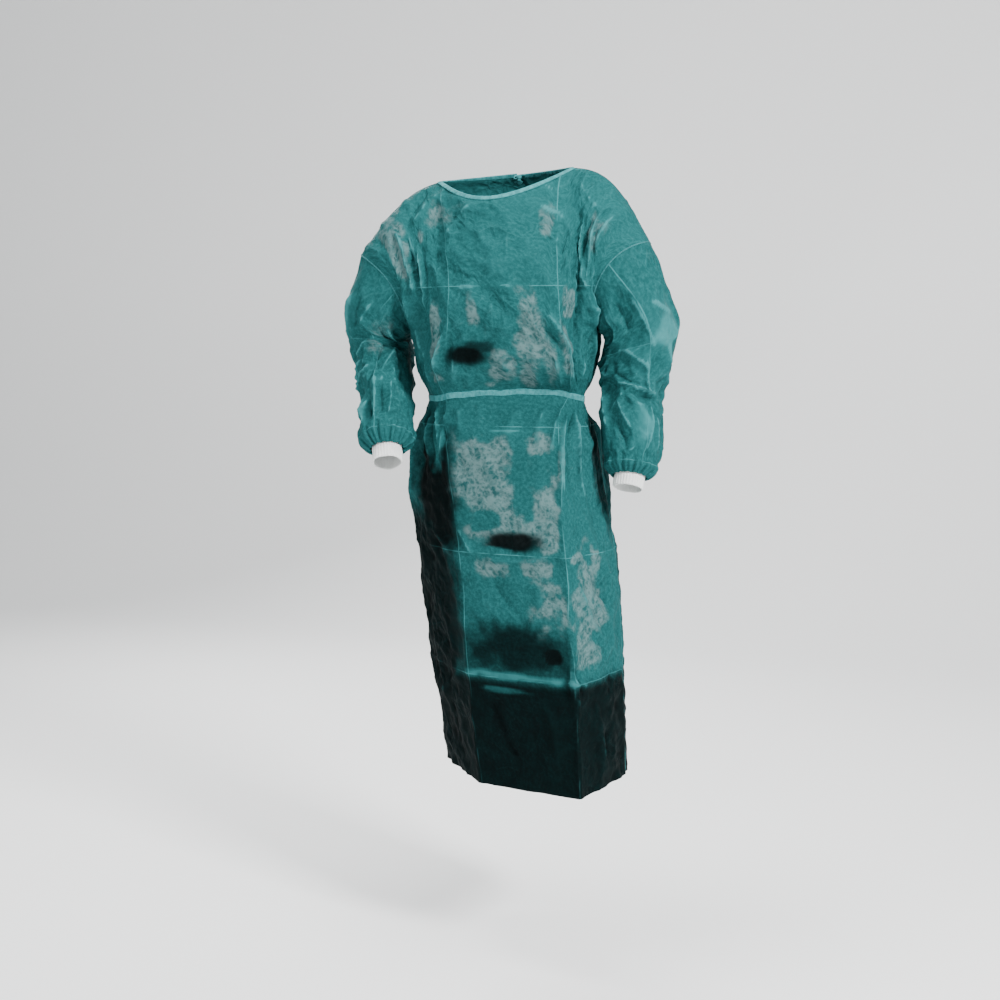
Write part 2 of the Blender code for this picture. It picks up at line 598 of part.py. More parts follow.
def make_binding(grids, normals, material):
    """Tape folded over the neck edge: from the left back's edge round the front to the right back's edge.
    Returns the middle of its outer side at the left back's edge, and the outward direction there."""
    neck_columns = (
        ("back_left", np.s_[SIDE_COLUMNS:]),
        ("front", np.s_[SIDE_COLUMNS : SIDE_COLUMNS + FRONT_COLUMNS]),
        ("back_right", np.s_[:BACK_COLUMNS]),
    )
    edge = np.concatenate([grids[name][0][-1, cut][::-1] for name, cut in neck_columns])
    outs = np.concatenate([normals[name][-1, cut][::-1] for name, cut in neck_columns])
    up = unit(np.cross(np.gradient(edge, axis=0), outs))
    low, high = edge + up * BINDING_GAP, edge + up * (BINDING_GAP + BINDING_WIDTH)
    outer = np.stack([low, high]) + outs * BINDING_PROUD
    inner = np.stack([low, high]) - outs * (CLOTH_WALL + BINDING_PROUD)
    add_piece("neck_binding", *wall_mesh(outer, inner, False), material)
    return outer[:, 0].mean(axis=0), outs[0]


def make_belt(grids, normals, belt_row, material):
    """The belt lies round the waist on the two rows of the panels that it holds in."""
    waist_columns = (
        ("front", np.s_[belt_row : belt_row + 2, :-1]),
        ("back_left", np.s_[belt_row : belt_row + 2, :]),
        ("back_right", np.s_[belt_row : belt_row + 2, BACK_COLUMNS + 1 : -1]),
    )
    points = np.concatenate([grids[name][0][cut] for name, cut in waist_columns], axis=1)
    outs = np.concatenate([normals[name][cut] for name, cut in waist_columns], axis=1)
    inner = points + outs * LYING_GAP
    outer = points + outs * (LYING_GAP + TAPE_WALL)
    add_piece("belt", *wall_mesh(outer, inner, True), material)


def make_knot(name, seat, out, size, material):
    """A pulled-tight knot on its seat: a flattened ball with the turns of the tape raised round it.
    Returns its sideways and upward directions and the point just under it."""
    side = unit(np.cross([0.0, 0.0, 1.0], out))
    up = np.cross(out, side)
    middle = seat + out * (size[1] / 2 + SEAM_GAP)
    around = np.arange(KNOT_COLUMNS) * 2 * math.pi / KNOT_COLUMNS
    down = np.linspace(0, math.pi, KNOT_RINGS + 1)[1:-1]
    turns = 1 - KNOT_DENT * (1 + np.cos(KNOT_TURNS * around))
    x = np.sin(down)[:, None] * np.cos(around) * turns * size[0] / 2
    y = np.sin(down)[:, None] * np.sin(around) * turns * size[1] / 2
    z = np.cos(down)[:, None] * size[2] / 2 + 0 * around
    grid = x[..., None] * side + y[..., None] * out + z[..., None] * up
    poles = np.array([up, -up]) * size[2] / 2
    vertices = np.concatenate([grid.reshape(-1, 3), poles]) + middle
    count = len(down) * KNOT_COLUMNS
    first, last = np.arange(KNOT_COLUMNS), np.arange(count - KNOT_COLUMNS, count)
    triangles = np.concatenate(
        [
            grid_triangles(len(down), KNOT_COLUMNS, True),
            np.stack([np.roll(first, -1), first, np.full(KNOT_COLUMNS, count)], axis=1),
            np.stack([last, np.roll(last, -1), np.full(KNOT_COLUMNS, count + 1)], axis=1),
        ]
    )
    add_piece(name, vertices, triangles, material)
    return side, up, middle - up * (size[2] / 2 + SEAM_GAP)


def make_tail(name, path, out, material):
    """A free end of tape along a path, its flat side against the back."""
    way = np.gradient(path, axis=0)
    side = unit(np.cross(out, way))
    face = unit(np.cross(way, side))
    corners = ((-0.5, 0.5), (0.5, 0.5), (0.5, -0.5), (-0.5, -0.5))
    ring = np.stack([path + side * TIE_WIDTH * a + face * TAPE_WALL * b for a, b in corners], axis=1)
    end = 4 * (len(path) - 1)
    caps = np.array([[0, 2, 1], [0, 3, 2], [end, end + 1, end + 2], [end, end + 2, end + 3]])
    add_piece(name, ring.reshape(-1, 3), np.concatenate([grid_triangles(len(path), 4, True), caps]), material)


def back_surface(places, levels):
    """Points on the outer side of the back, and the outward direction at each."""
    points = gown_points(places, levels, 1)
    across = gown_points(places + SMALL_STEP, levels, 1) - points
    up = gown_points(places, levels + SMALL_STEP, 1) - points
    return points, unit(np.cross(across, up))


def make_tie(name, seat, out, start_level, knot_size, tails, material):
    """A knot at the middle of the back with two free ends that hang down over the cloth."""
    across, up, below = make_knot(name + "_knot", seat, out, knot_size, material)
    down = np.linspace(0, 1, TAIL_STATIONS)
    for tail in tails:
        levels_per_metre = (1.0 if start_level < 1 else YOKE_STRETCH) / (ARMPIT_HEIGHT - HEM_HEIGHT)
        levels = start_level - tail.length * levels_per_metre * down
        cloth, outs = back_surface(4.5 + tail.drift * down, levels)
        start_lift = (below - cloth[0]).dot(outs[0])
        start = below + np.sign(tail.drift) * TIE_APART * across + tail.tuck * up
        path = cloth - cloth[0] + start
        path -= outs * (start_lift - TAIL_LIFT) * smooth_step(down / TAIL_SETTLE)[:, None]
        make_tail(name + "_end_" + tail.side, path, outs, material)


def main():
    for old in list(bpy.data.objects):
        bpy.data.objects.remove(old, do_unlink=True)
    levels, belt_row, shares = panel_levels()
    places = {name: panel_places(name, levels) for name in ("front", "back_left", "back_right")}
    grids = {}
    for name, place in places.items():
        level = np.repeat(levels[:, None], place.shape[1], axis=1)
        grids[name] = (gown_points(place, level, -1 if name == "front" else 1), False)
    for side in ("left", "right"):
        grids["sleeve_" + side] = (sleeve_points(side, shares), True)
    normals, sleeves = settle_armholes(grids, len(levels) - 1 - YOKE_ROWS)
    lying = dict(grids, **sleeves)
    under_back = underlapped(grids["back_right"][0], normals["back_right"], places["back_right"], levels)
    lying["back_right"] = (under_back, False)

    cloth = make_material("teal nonwoven cloth", TEAL, 0.72)
    tape = make_material("light teal tape", LIGHT_TEAL, 0.66)
    knit = make_material("white knit", KNIT_WHITE, 0.85)
    make_panels(lying, normals, cloth)
    make_cuff("left", CUFF_SHOWN_LEFT, grids["sleeve_left"][0], knit)
    make_cuff("right", CUFF_SHOWN_RIGHT, grids["sleeve_right"][0], knit)
    seat, out = make_binding(lying, normals, tape)
    make_tie("neck_tie", seat, out, NECK_TIE_LEVEL, NECK_KNOT_SIZE, NECK_TAILS, tape)
    make_belt(grids, normals, belt_row, tape)
    belt_level = (BELT_HEIGHT - HEM_HEIGHT) / (ARMPIT_HEIGHT - HEM_HEIGHT)
    seats, outs = back_surface(np.array([4.5]), np.array([belt_level]))
    below_knot = belt_level - BELT_KNOT_SIZE[2] / 2 / (ARMPIT_HEIGHT - HEM_HEIGHT)
    seat = seats[0] + outs[0] * (LYING_GAP + TAPE_WALL)
    make_tie("belt_tie", seat, outs[0], below_knot, BELT_KNOT_SIZE, BELT_TAILS, tape)


main()
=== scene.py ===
"""The looks of a visitor gown: thin teal nonwoven cloth worn open below, with white knitted cuffs.

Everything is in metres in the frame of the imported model: +Z up, the front faces -Y, and left and right are
the gown's own, with its left sleeve on the +X side.
"""

import math
from collections import namedtuple

import bpy
import numpy as np
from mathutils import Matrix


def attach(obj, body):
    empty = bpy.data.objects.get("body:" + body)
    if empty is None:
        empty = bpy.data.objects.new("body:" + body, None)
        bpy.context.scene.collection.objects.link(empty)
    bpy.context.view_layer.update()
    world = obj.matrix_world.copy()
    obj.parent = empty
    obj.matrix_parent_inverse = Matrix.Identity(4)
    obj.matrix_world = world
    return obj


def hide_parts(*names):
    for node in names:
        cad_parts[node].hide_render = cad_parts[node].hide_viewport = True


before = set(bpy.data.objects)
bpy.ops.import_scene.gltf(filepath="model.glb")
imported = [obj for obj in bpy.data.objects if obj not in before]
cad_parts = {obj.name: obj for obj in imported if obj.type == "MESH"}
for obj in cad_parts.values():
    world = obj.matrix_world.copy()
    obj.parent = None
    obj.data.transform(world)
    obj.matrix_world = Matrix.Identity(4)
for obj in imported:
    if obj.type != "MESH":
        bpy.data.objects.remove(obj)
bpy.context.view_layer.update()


# Camera, floor and lights
# The camera stands 3.2 m off, a little to the gown's left and at the height of the chest, and looks
# slightly down. A pale floor that curves up into a wall is lit by soft panels from the front and above.

CAMERA_TURN = 18.0
CAMERA_DISTANCE = 3.2
CAMERA_SIDE = 0.0071
CAMERA_HEIGHT = -0.333
CAMERA_PITCH = 5.767
CAMERA_LENS = 57.02
FLOOR_HEIGHT = -1.56
FLOOR_COLOUR = (0.93, 0.935, 0.935, 1.0)
WORLD_COLOUR = (0.93, 0.95, 0.96, 1.0)
WORLD_STRENGTH = 0.62

turn = math.radians(CAMERA_TURN)
camera_data = bpy.data.cameras.new("photo_camera")
camera_data.lens = CAMERA_LENS
camera_data.sensor_width = 36.0
camera = bpy.data.objects.new("photo_camera", camera_data)
camera.location = (
    math.sin(turn) * CAMERA_DISTANCE - math.cos(turn) * CAMERA_SIDE,
    -math.cos(turn) * CAMERA_DISTANCE - math.sin(turn) * CAMERA_SIDE,
    CAMERA_HEIGHT,
)
camera.rotation_euler = (math.radians(90.0 - CAMERA_PITCH), 0.0, turn)
bpy.context.scene.collection.objects.link(camera)
bpy.context.scene.camera = camera


def principled(name):
    """A new material, its node tree and its Principled shader."""
    material = bpy.data.materials.new(name)
    material.use_nodes = True
    return material, material.node_tree, material.node_tree.nodes["Principled BSDF"]


def studio_floor(width, front, back, rise, height, rows):
    """A floor that runs straight back, bends up by a quarter circle and goes on as a wall."""
    bend = np.linspace(0, math.pi / 2, rows)
    y = np.concatenate([[-front], back + rise * np.sin(bend), [back + rise]])
    z = np.concatenate([[0.0], rise * (1 - np.cos(bend)), [height]]) + FLOOR_HEIGHT
    line = np.stack([y, z], axis=1)
    points = np.concatenate([np.insert(line, 0, -width, axis=1), np.insert(line, 0, width, axis=1)])
    first = np.arange(len(line) - 1)
    faces = np.stack([first, first + len(line), first + len(line) + 1, first + 1], axis=1)
    mesh = bpy.data.meshes.new("studio_floor")
    mesh.from_pydata(points.tolist(), [], faces.tolist())
    material, _, shader = principled("pale_floor")
    shader.inputs["Base Color"].default_value = FLOOR_COLOUR
    shader.inputs["Roughness"].default_value = 0.9
    mesh.materials.append(material)
    mesh.shade_smooth()
    floor = bpy.data.objects.new("studio_floor", mesh)
    bpy.context.scene.collection.objects.link(floor)
    return floor


studio_floor(width=9.0, front=7.0, back=3.0, rise=1.5, height=7.0, rows=16)

world = bpy.data.worlds.new("soft_studio")
world.use_nodes = True
world.node_tree.nodes["Background"].inputs["Color"].default_value = WORLD_COLOUR
world.node_tree.nodes["Background"].inputs["Strength"].default_value = WORLD_STRENGTH
bpy.context.scene.world = world

Lamp = namedtuple("Lamp", "name x y z aim_z size power")
LAMPS = (
    Lamp("key_panel", 2.9, -1.9, 1.5, -0.45, 0.8, 290.0),
    Lamp("fill_panel", -2.6, -2.4, 0.8, -0.5, 1.6, 46.0),
    Lamp("top_panel", -0.4, -0.3, 2.4, -0.3, 1.2, 90.0),
    Lamp("back_panel", -1.8, 2.4, 1.2, -0.4, 1.4, 110.0),
)
for lamp in LAMPS:
    light = bpy.data.lights.new(lamp.name, "AREA")
    light.size = lamp.size
    light.energy = lamp.power
    light_object = bpy.data.objects.new(lamp.name, light)
    light_object.location = (lamp.x, lamp.y, lamp.z)
    across = math.hypot(lamp.x, lamp.y)
    light_object.rotation_euler = (
        math.atan2(across, lamp.z - lamp.aim_z),
        0.0,
        math.atan2(lamp.x, -lamp.y),
    )
    bpy.context.scene.collection.objects.link(light_object)


# Body of the gown
# A front and two backs of thin spunbonded cloth, joined at the sides and shoulders and left open behind,
# where the left back lies over the right one. The cloth keeps the square creases of its packing.

CLOTH = 0.0007
STRIP = 0.235
HEM_HEIGHT = -1.200
BELT_HEIGHT = -0.445
ARMPIT_HEIGHT = -0.310

NECK_LEFT = (0.142, 0.004, 0.003)
NECK_RIGHT = (-0.134, 0.004, -0.016)
NECK_FRONT_DROP = (0.0, -0.092, -0.050)
NECK_BACK_DROP = (0.0, 0.074, 0.006)
TIP_LEFT = (0.297, 0.002, -0.144)
TIP_RIGHT = (-0.303, 0.002, -0.158)
SHOULDER_BOW = 0.006
SHOULDER_ARCH_LEFT = 0.042
SHOULDER_ARCH_RIGHT = 0.032
MIDDLE_REACH = 0.9
CHEST_BOW = 0.01
SHOULDER_OVER, NECK_OVER = 0.13, 0.08
SHOULDER_RISE, NECK_RISE = 0.02, 0.12
ARMHOLE_DEPTH = 0.089
ARMHOLE_HOLLOW_LEFT = (-0.016, 0.0, 0.024)
ARMHOLE_HOLLOW_RIGHT = (0.034, 0.0, 0.016)
NECK_REACH = 0.494
UNDERLAP_STEP = 0.0055
UNDERLAP_STRIPS = 0.9
UNDERLAP_STRIPS_NECK = 0.45

# A place round the body is counted in the strips between packing creases: 0 is the right side seam, 1 and 2
# the front crease lines, 3 the left side seam, 4 and 5 stand behind 2 and 1, and 6 is the right seam again.
Section = namedtuple(
    "Section",
    "height sharp "
    "right_x right_y front_right_x front_right_y front_left_x front_left_y "
    "left_x left_y back_left_x back_left_y back_right_x back_right_y",
)
BODY_SECTIONS = (
    Section(HEM_HEIGHT, 0.8,
            -0.13, 0.035, 0.002, -0.158, 0.22, -0.209, 0.257, 0.005, 0.18, 0.122, 0, 0.13),
    Section(-0.985, 0.7,
            -0.166, 0.035, -0.026, -0.147, 0.205, -0.193, 0.248, 0.01, 0.165, 0.126, -0.04, 0.134),
    Section(-0.74, 0.6,
            -0.198, 0.035, -0.055, -0.137, 0.18, -0.17, 0.228, 0.012, 0.145, 0.13, -0.085, 0.135),
    Section(-0.6, 0.5,
            -0.205, 0.03, -0.074, -0.125, 0.164, -0.145, 0.203, 0.012, 0.125, 0.126, -0.1, 0.13),
    Section(-0.52, 0.4,
            -0.19, 0.025, -0.078, -0.116, 0.16, -0.126, 0.19, 0.012, 0.112, 0.114, -0.098, 0.116),
    Section(BELT_HEIGHT, 0.1,
            -0.16, 0.018, -0.081, -0.102, 0.152, -0.06, 0.163, 0.005, 0.088, 0.098, -0.086, 0.098),
    Section(-0.4, 0.2,
            -0.176, 0.015, -0.086, -0.122, 0.158, -0.098, 0.179, 0.006, 0.104, 0.112, -0.104, 0.112),
    Section(ARMPIT_HEIGHT, 0.2,
            -0.192, 0.01, -0.074, -0.142, 0.152, -0.136, 0.19, 0.004, 0.115, 0.118, -0.115, 0.118),
)

# The large folds of the solids, at the same places.
Fold = namedtuple("Fold", "place width depth top bottom drift")
BODY_FOLDS = (
    Fold(0.30, 0.12, 0.011, -0.120, -0.430, 0.3),
    Fold(0.56, 0.11, -0.009, -0.130, -0.430, 0.2),
    Fold(0.82, 0.11, 0.006, -0.180, -0.430, 0.0),
    Fold(1.25, 0.13, 0.004, -0.080, -0.300, -1.2),
    Fold(2.36, 0.12, -0.008, -0.100, -0.430, 0.0),
    Fold(2.58, 0.12, 0.012, -0.100, -0.430, 0.3),
    Fold(0.22, 0.12, 0.010, -0.450, -0.720, -0.1),
    Fold(0.48, 0.11, -0.010, -0.450, -0.640, 0.0),
    Fold(0.70, 0.11, 0.011, -0.450, -0.600, 0.2),
    Fold(1.22, 0.10, 0.005, -0.450, -0.560, 0.5),
    Fold(2.25, 0.11, -0.008, -0.450, -0.700, 0.2),
    Fold(2.50, 0.11, 0.010, -0.450, -0.640, 0.3),
    Fold(2.76, 0.11, -0.008, -0.450, -0.640, 0.0),
    Fold(3.25, 0.12, 0.010, -0.140, -0.700, 0.1),
    Fold(3.52, 0.12, -0.009, -0.160, -0.620, 0.0),
    Fold(3.80, 0.12, 0.009, -0.220, -0.780, 0.1),
    Fold(5.18, 0.12, 0.008, -0.220, -0.700, -0.1),
    Fold(5.46, 0.12, -0.009, -0.160, -0.640, 0.0),
    Fold(5.74, 0.12, 0.010, -0.290, -0.760, 0.1),
)
FOLD_FADE = 0.09
SEAM_STILL = 0.16
SHOULDER_FADE = 0.25
BELT_HOLD = 0.9
BELT_HOLD_HEIGHT = 0.02
BELT_RISE = 0.017
BELT_RISE_PLACE = 1.6
BELT_RISE_WIDTH = 0.62
BELT_RISE_HEIGHT = 0.07
BELT_SAG = 0.005
ARMPIT_FADE = 0.05

# Creases, listed one by one. Each runs from one place and height to another; bow is how far its middle
# strays sideways, width its half-width and depth its rise (a trough is negative), all in metres.
Crease = namedtuple("Crease", "place height to_place to_height bow width depth")
BODY_CREASES = (
    # pulled from the neck and shoulders down the chest
    Crease(1.45, -0.060, 1.02, -0.150, 0.010, 0.010, 0.0030),
    Crease(1.30, -0.070, 0.90, -0.200, 0.012, 0.012, -0.0028),
    Crease(1.75, -0.070, 2.20, -0.150, -0.008, 0.010, 0.0022),
    Crease(1.86, -0.060, 2.45, -0.120, -0.006, 0.008, -0.0022),
    Crease(1.10, -0.040, 0.60, -0.110, 0.008, 0.009, 0.0030),
    Crease(0.95, -0.030, 0.45, -0.130, 0.010, 0.010, -0.0030),
    Crease(2.10, -0.020, 2.60, -0.090, 0.006, 0.009, 0.0030),
    # down from the shoulder to the armpit, at the right
    Crease(0.38, -0.110, 0.50, -0.260, 0.006, 0.008, 0.0050),
    Crease(0.47, -0.115, 0.60, -0.250, 0.004, 0.006, -0.0050),
    Crease(0.60, -0.140, 0.66, -0.300, -0.005, 0.007, 0.0035),
    Crease(0.74, -0.150, 0.72, -0.330, 0.004, 0.008, -0.0030),
    Crease(0.30, -0.240, 0.55, -0.400, -0.010, 0.009, 0.0040),
    Crease(0.20, -0.300, 0.46, -0.420, -0.008, 0.007, -0.0035),
    Crease(0.45, -0.330, 0.80, -0.430, -0.006, 0.007, 0.0035),
    # down from the shoulder to the armpit, at the left
    Crease(2.30, -0.070, 2.57, -0.242, 0.006, 0.006, 0.0046),
    Crease(2.74, -0.090, 2.58, -0.242, -0.005, 0.006, 0.0046),
    Crease(2.74, -0.150, 2.62, -0.425, 0.004, 0.006, 0.0040),
    Crease(2.44, -0.230, 2.30, -0.430, 0.004, 0.006, -0.0034),
    Crease(2.50, -0.090, 2.40, -0.250, -0.004, 0.007, -0.0045),
    Crease(2.62, -0.080, 2.56, -0.245, 0.004, 0.008, 0.0050),
    Crease(2.30, -0.110, 2.28, -0.260, -0.004, 0.008, 0.0032),
    Crease(2.57, -0.238, 2.72, -0.290, 0.006, 0.007, 0.0040),
    Crease(2.57, -0.238, 2.36, -0.200, 0.006, 0.007, 0.0036),
    Crease(2.80, -0.280, 2.45, -0.400, 0.012, 0.008, -0.0035),
    Crease(2.66, -0.330, 2.30, -0.420, 0.008, 0.007, 0.0032),
    # chest and waist, gathered by the belt
    Crease(1.05, -0.300, 0.92, -0.400, 0.008, 0.007, 0.0040),
    Crease(0.92, -0.330, 0.80, -0.420, 0.006, 0.006, -0.0035),
    Crease(1.12, -0.330, 1.10, -0.425, -0.004, 0.007, 0.0028),
    Crease(1.28, -0.385, 1.22, -0.432, 0.003, 0.005, 0.0022),
    Crease(1.52, -0.350, 1.56, -0.426, 0.004, 0.006, 0.0020),
    Crease(1.70, -0.372, 1.78, -0.428, 0.003, 0.005, 0.0024),
    Crease(1.92, -0.360, 1.96, -0.430, 0.004, 0.006, 0.0030),
    Crease(2.06, -0.310, 2.10, -0.425, -0.006, 0.007, 0.0042),
    Crease(2.18, -0.350, 2.20, -0.430, 0.003, 0.005, -0.0030),
    Crease(1.60, -0.180, 1.20, -0.300, 0.014, 0.012, 0.0022),
    Crease(1.30, -0.230, 1.75, -0.300, 0.010, 0.010, -0.0018),
    Crease(1.85, -0.280, 2.10, -0.340, -0.006, 0.008, 0.0030),
    Crease(1.78, -0.300, 2.04, -0.372, -0.008, 0.007, -0.0028),
    Crease(1.95, -0.100, 2.00, -0.200, 0.003, 0.006, 0.0020),
    # below the belt
    Crease(0.60, -0.456, 0.70, -0.590, -0.006, 0.006, 0.0040),
    Crease(1.00, -0.458, 0.92, -0.585, 0.006, 0.006, 0.0036),
    Crease(2.02, -0.455, 2.02, -0.660, 0.004, 0.005, 0.0036),
    Crease(2.10, -0.455, 2.36, -0.600, -0.006, 0.006, 0.0040),
    Crease(0.50, -0.455, 0.60, -0.580, 0.008, 0.009, 0.0050),
    Crease(0.60, -0.455, 0.78, -0.590, -0.010, 0.008, -0.0045),
    Crease(0.74, -0.458, 0.90, -0.560, -0.006, 0.007, 0.0040),
    Crease(0.90, -0.458, 1.02, -0.540, 0.004, 0.006, -0.0030),
    Crease(1.12, -0.460, 1.16, -0.520, 0.004, 0.006, 0.0026),
    Crease(1.30, -0.460, 1.30, -0.500, 0.002, 0.005, 0.0020),
    Crease(1.60, -0.458, 1.55, -0.510, 0.003, 0.005, 0.0018),
    Crease(1.80, -0.458, 1.76, -0.540, 0.004, 0.006, 0.0024),
    Crease(1.96, -0.455, 1.90, -0.560, 0.004, 0.006, 0.0034),
    Crease(2.12, -0.455, 2.20, -0.640, 0.008, 0.008, -0.0040),
    Crease(2.24, -0.455, 2.42, -0.660, 0.010, 0.008, 0.0046),
    Crease(2.50, -0.455, 2.62, -0.600, -0.006, 0.007, -0.0036),
    Crease(1.06, -0.690, 1.20, -0.755, 0.004, 0.005, 0.0030),
    Crease(1.20, -0.755, 1.90, -0.748, 0.006, 0.006, 0.0024),
    Crease(0.45, -0.700, 1.00, -0.760, -0.010, 0.010, 0.0032),
    Crease(1.30, -0.780, 1.70, -0.900, 0.012, 0.012, -0.0022),
    Crease(1.85, -0.790, 1.60, -0.930, 0.010, 0.010, 0.0022),
    Crease(2.10, -0.780, 2.60, -0.930, 0.012, 0.012, 0.0034),
    Crease(2.30, -0.760, 2.75, -0.860, 0.010, 0.010, -0.0030),
    Crease(1.98, -0.930, 2.04, -1.040, 0.006, 0.007, 0.0040),
    Crease(1.88, -0.975, 2.20, -0.990, 0.003, 0.006, 0.0034),
    Crease(1.94, -0.940, 2.14, -1.020, -0.004, 0.006, -0.0028),
    Crease(0.90, -0.990, 0.40, -1.060, 0.008, 0.010, 0.0030),
    Crease(1.20, -1.010, 1.50, -1.160, 0.014, 0.012, -0.0024),
    Crease(1.70, -1.020, 1.80, -1.170, -0.010, 0.012, 0.0024),
    Crease(0.60, -1.040, 0.75, -1.190, 0.008, 0.012, -0.0030),
    Crease(2.35, -1.010, 2.50, -1.180, 0.010, 0.012, 0.0030),
    # the same kinds of crease on the backs
    Crease(3.30, -0.120, 3.60, -0.280, 0.008, 0.009, 0.0045),
    Crease(3.55, -0.080, 3.90, -0.230, 0.008, 0.009, -0.0035),
    Crease(3.90, -0.060, 4.20, -0.180, 0.010, 0.010, 0.0030),
    Crease(4.20, -0.200, 3.80, -0.330, 0.012, 0.010, 0.0028),
    Crease(3.40, -0.300, 3.60, -0.425, 0.008, 0.008, 0.0042),
    Crease(3.70, -0.330, 3.78, -0.430, 0.005, 0.007, -0.0034),
    Crease(4.05, -0.340, 4.10, -0.430, 0.005, 0.007, 0.0036),
    Crease(4.35, -0.300, 4.40, -0.430, 0.006, 0.008, -0.0026),
    Crease(3.45, -0.458, 3.40, -0.640, 0.010, 0.009, 0.0050),
    Crease(3.72, -0.458, 3.75, -0.600, 0.006, 0.008, -0.0044),
    Crease(4.00, -0.458, 4.05, -0.660, 0.008, 0.008, 0.0044),
    Crease(4.26, -0.458, 4.25, -0.560, 0.004, 0.007, -0.0030),
    Crease(4.50, -0.470, 4.56, -0.640, 0.006, 0.008, 0.0028),
    Crease(3.60, -0.760, 4.20, -0.900, 0.014, 0.012, 0.0030),
    Crease(4.10, -0.760, 3.70, -0.960, 0.012, 0.012, -0.0028),
    Crease(3.50, -1.000, 3.70, -1.180, 0.010, 0.012, 0.0032),
    Crease(4.20, -1.000, 4.30, -1.170, 0.010, 0.012, -0.0026),
    Crease(5.70, -0.120, 5.40, -0.280, 0.008, 0.009, 0.0045),
    Crease(5.42, -0.080, 5.10, -0.230, 0.008, 0.009, -0.0035),
    Crease(5.20, -0.060, 4.90, -0.180, 0.010, 0.010, 0.0030),
    Crease(5.60, -0.320, 5.38, -0.425, 0.008, 0.008, 0.0040),
    Crease(5.30, -0.330, 5.22, -0.430, 0.005, 0.007, -0.0034),
    Crease(5.05, -0.340, 5.00, -0.430, 0.005, 0.007, 0.0034),
    Crease(5.55, -0.458, 5.62, -0.640, 0.010, 0.009, 0.0046),
    Crease(5.30, -0.458, 5.26, -0.600, 0.006, 0.008, -0.0042),
    Crease(5.05, -0.458, 5.00, -0.660, 0.008, 0.008, 0.0040),
    Crease(5.50, -0.760, 4.95, -0.900, 0.014, 0.012, 0.0030),
    Crease(5.00, -1.000, 5.25, -1.180, 0.010, 0.012, 0.0030),
)

# Where the packing creases that run down the body lie, in strips; they stray where the cloth is gathered.
PackingLine = namedtuple("PackingLine", "height right left")
PACKING_LINES = (
    PackingLine(-1.200, 1.04, 2.00),
    PackingLine(-1.080, 1.01, 2.00),
    PackingLine(-0.985, 1.02, 2.01),
    PackingLine(-0.930, 1.02, 2.00),
    PackingLine(-0.880, 1.03, 1.97),
    PackingLine(-0.800, 1.05, 2.00),
    PackingLine(-0.680, 1.05, 1.98),
    PackingLine(-0.590, 1.02, 2.00),
    PackingLine(-0.468, 0.98, 1.93),
    PackingLine(-0.425, 0.92, 2.05),
    PackingLine(-0.380, 0.90, 2.08),
    PackingLine(-0.330, 1.03, 2.04),
    PackingLine(-0.240, 1.09, 1.99),
    PackingLine(-0.147, 1.09, 1.95),
    PackingLine(-0.050, 1.05, 1.93),
)
PACKING_HEIGHTS = (-0.985, -0.745, -0.500, -0.230)
PACKING_STEP = 0.24
PACKING_PULL = 0.4
PACKING_RIDGE = 0.0042
PACKING_RIDGE_WIDTH = 0.007
LEVEL_RIDGE_SHARE = 0.7
BODY_CREASE_RISE = 2.1

# Crumples between the creases: their rise, the size of their cells, and the skew and squeeze of the cells.
Crumple = namedtuple("Crumple", "rise cell skew squeeze seed")
BODY_CRUMPLES = (Crumple(0.0105, 0.078, 0.3, 0.8, 11), Crumple(0.0042, 0.032, 0.0, 1.0, 23))
CALM, UPPER_SHARE = 0.45, 0.8
UPPER_START, UPPER_FADE = -0.46, 0.12
SIDE_START, SIDE_FADE = 0.45, 0.6
BELT_STILL, BELT_STILL_HEIGHT = 0.9, 0.014
SEAM_CALM, NECK_STILL, NECK_CALM = 0.10, 0.02, 0.11
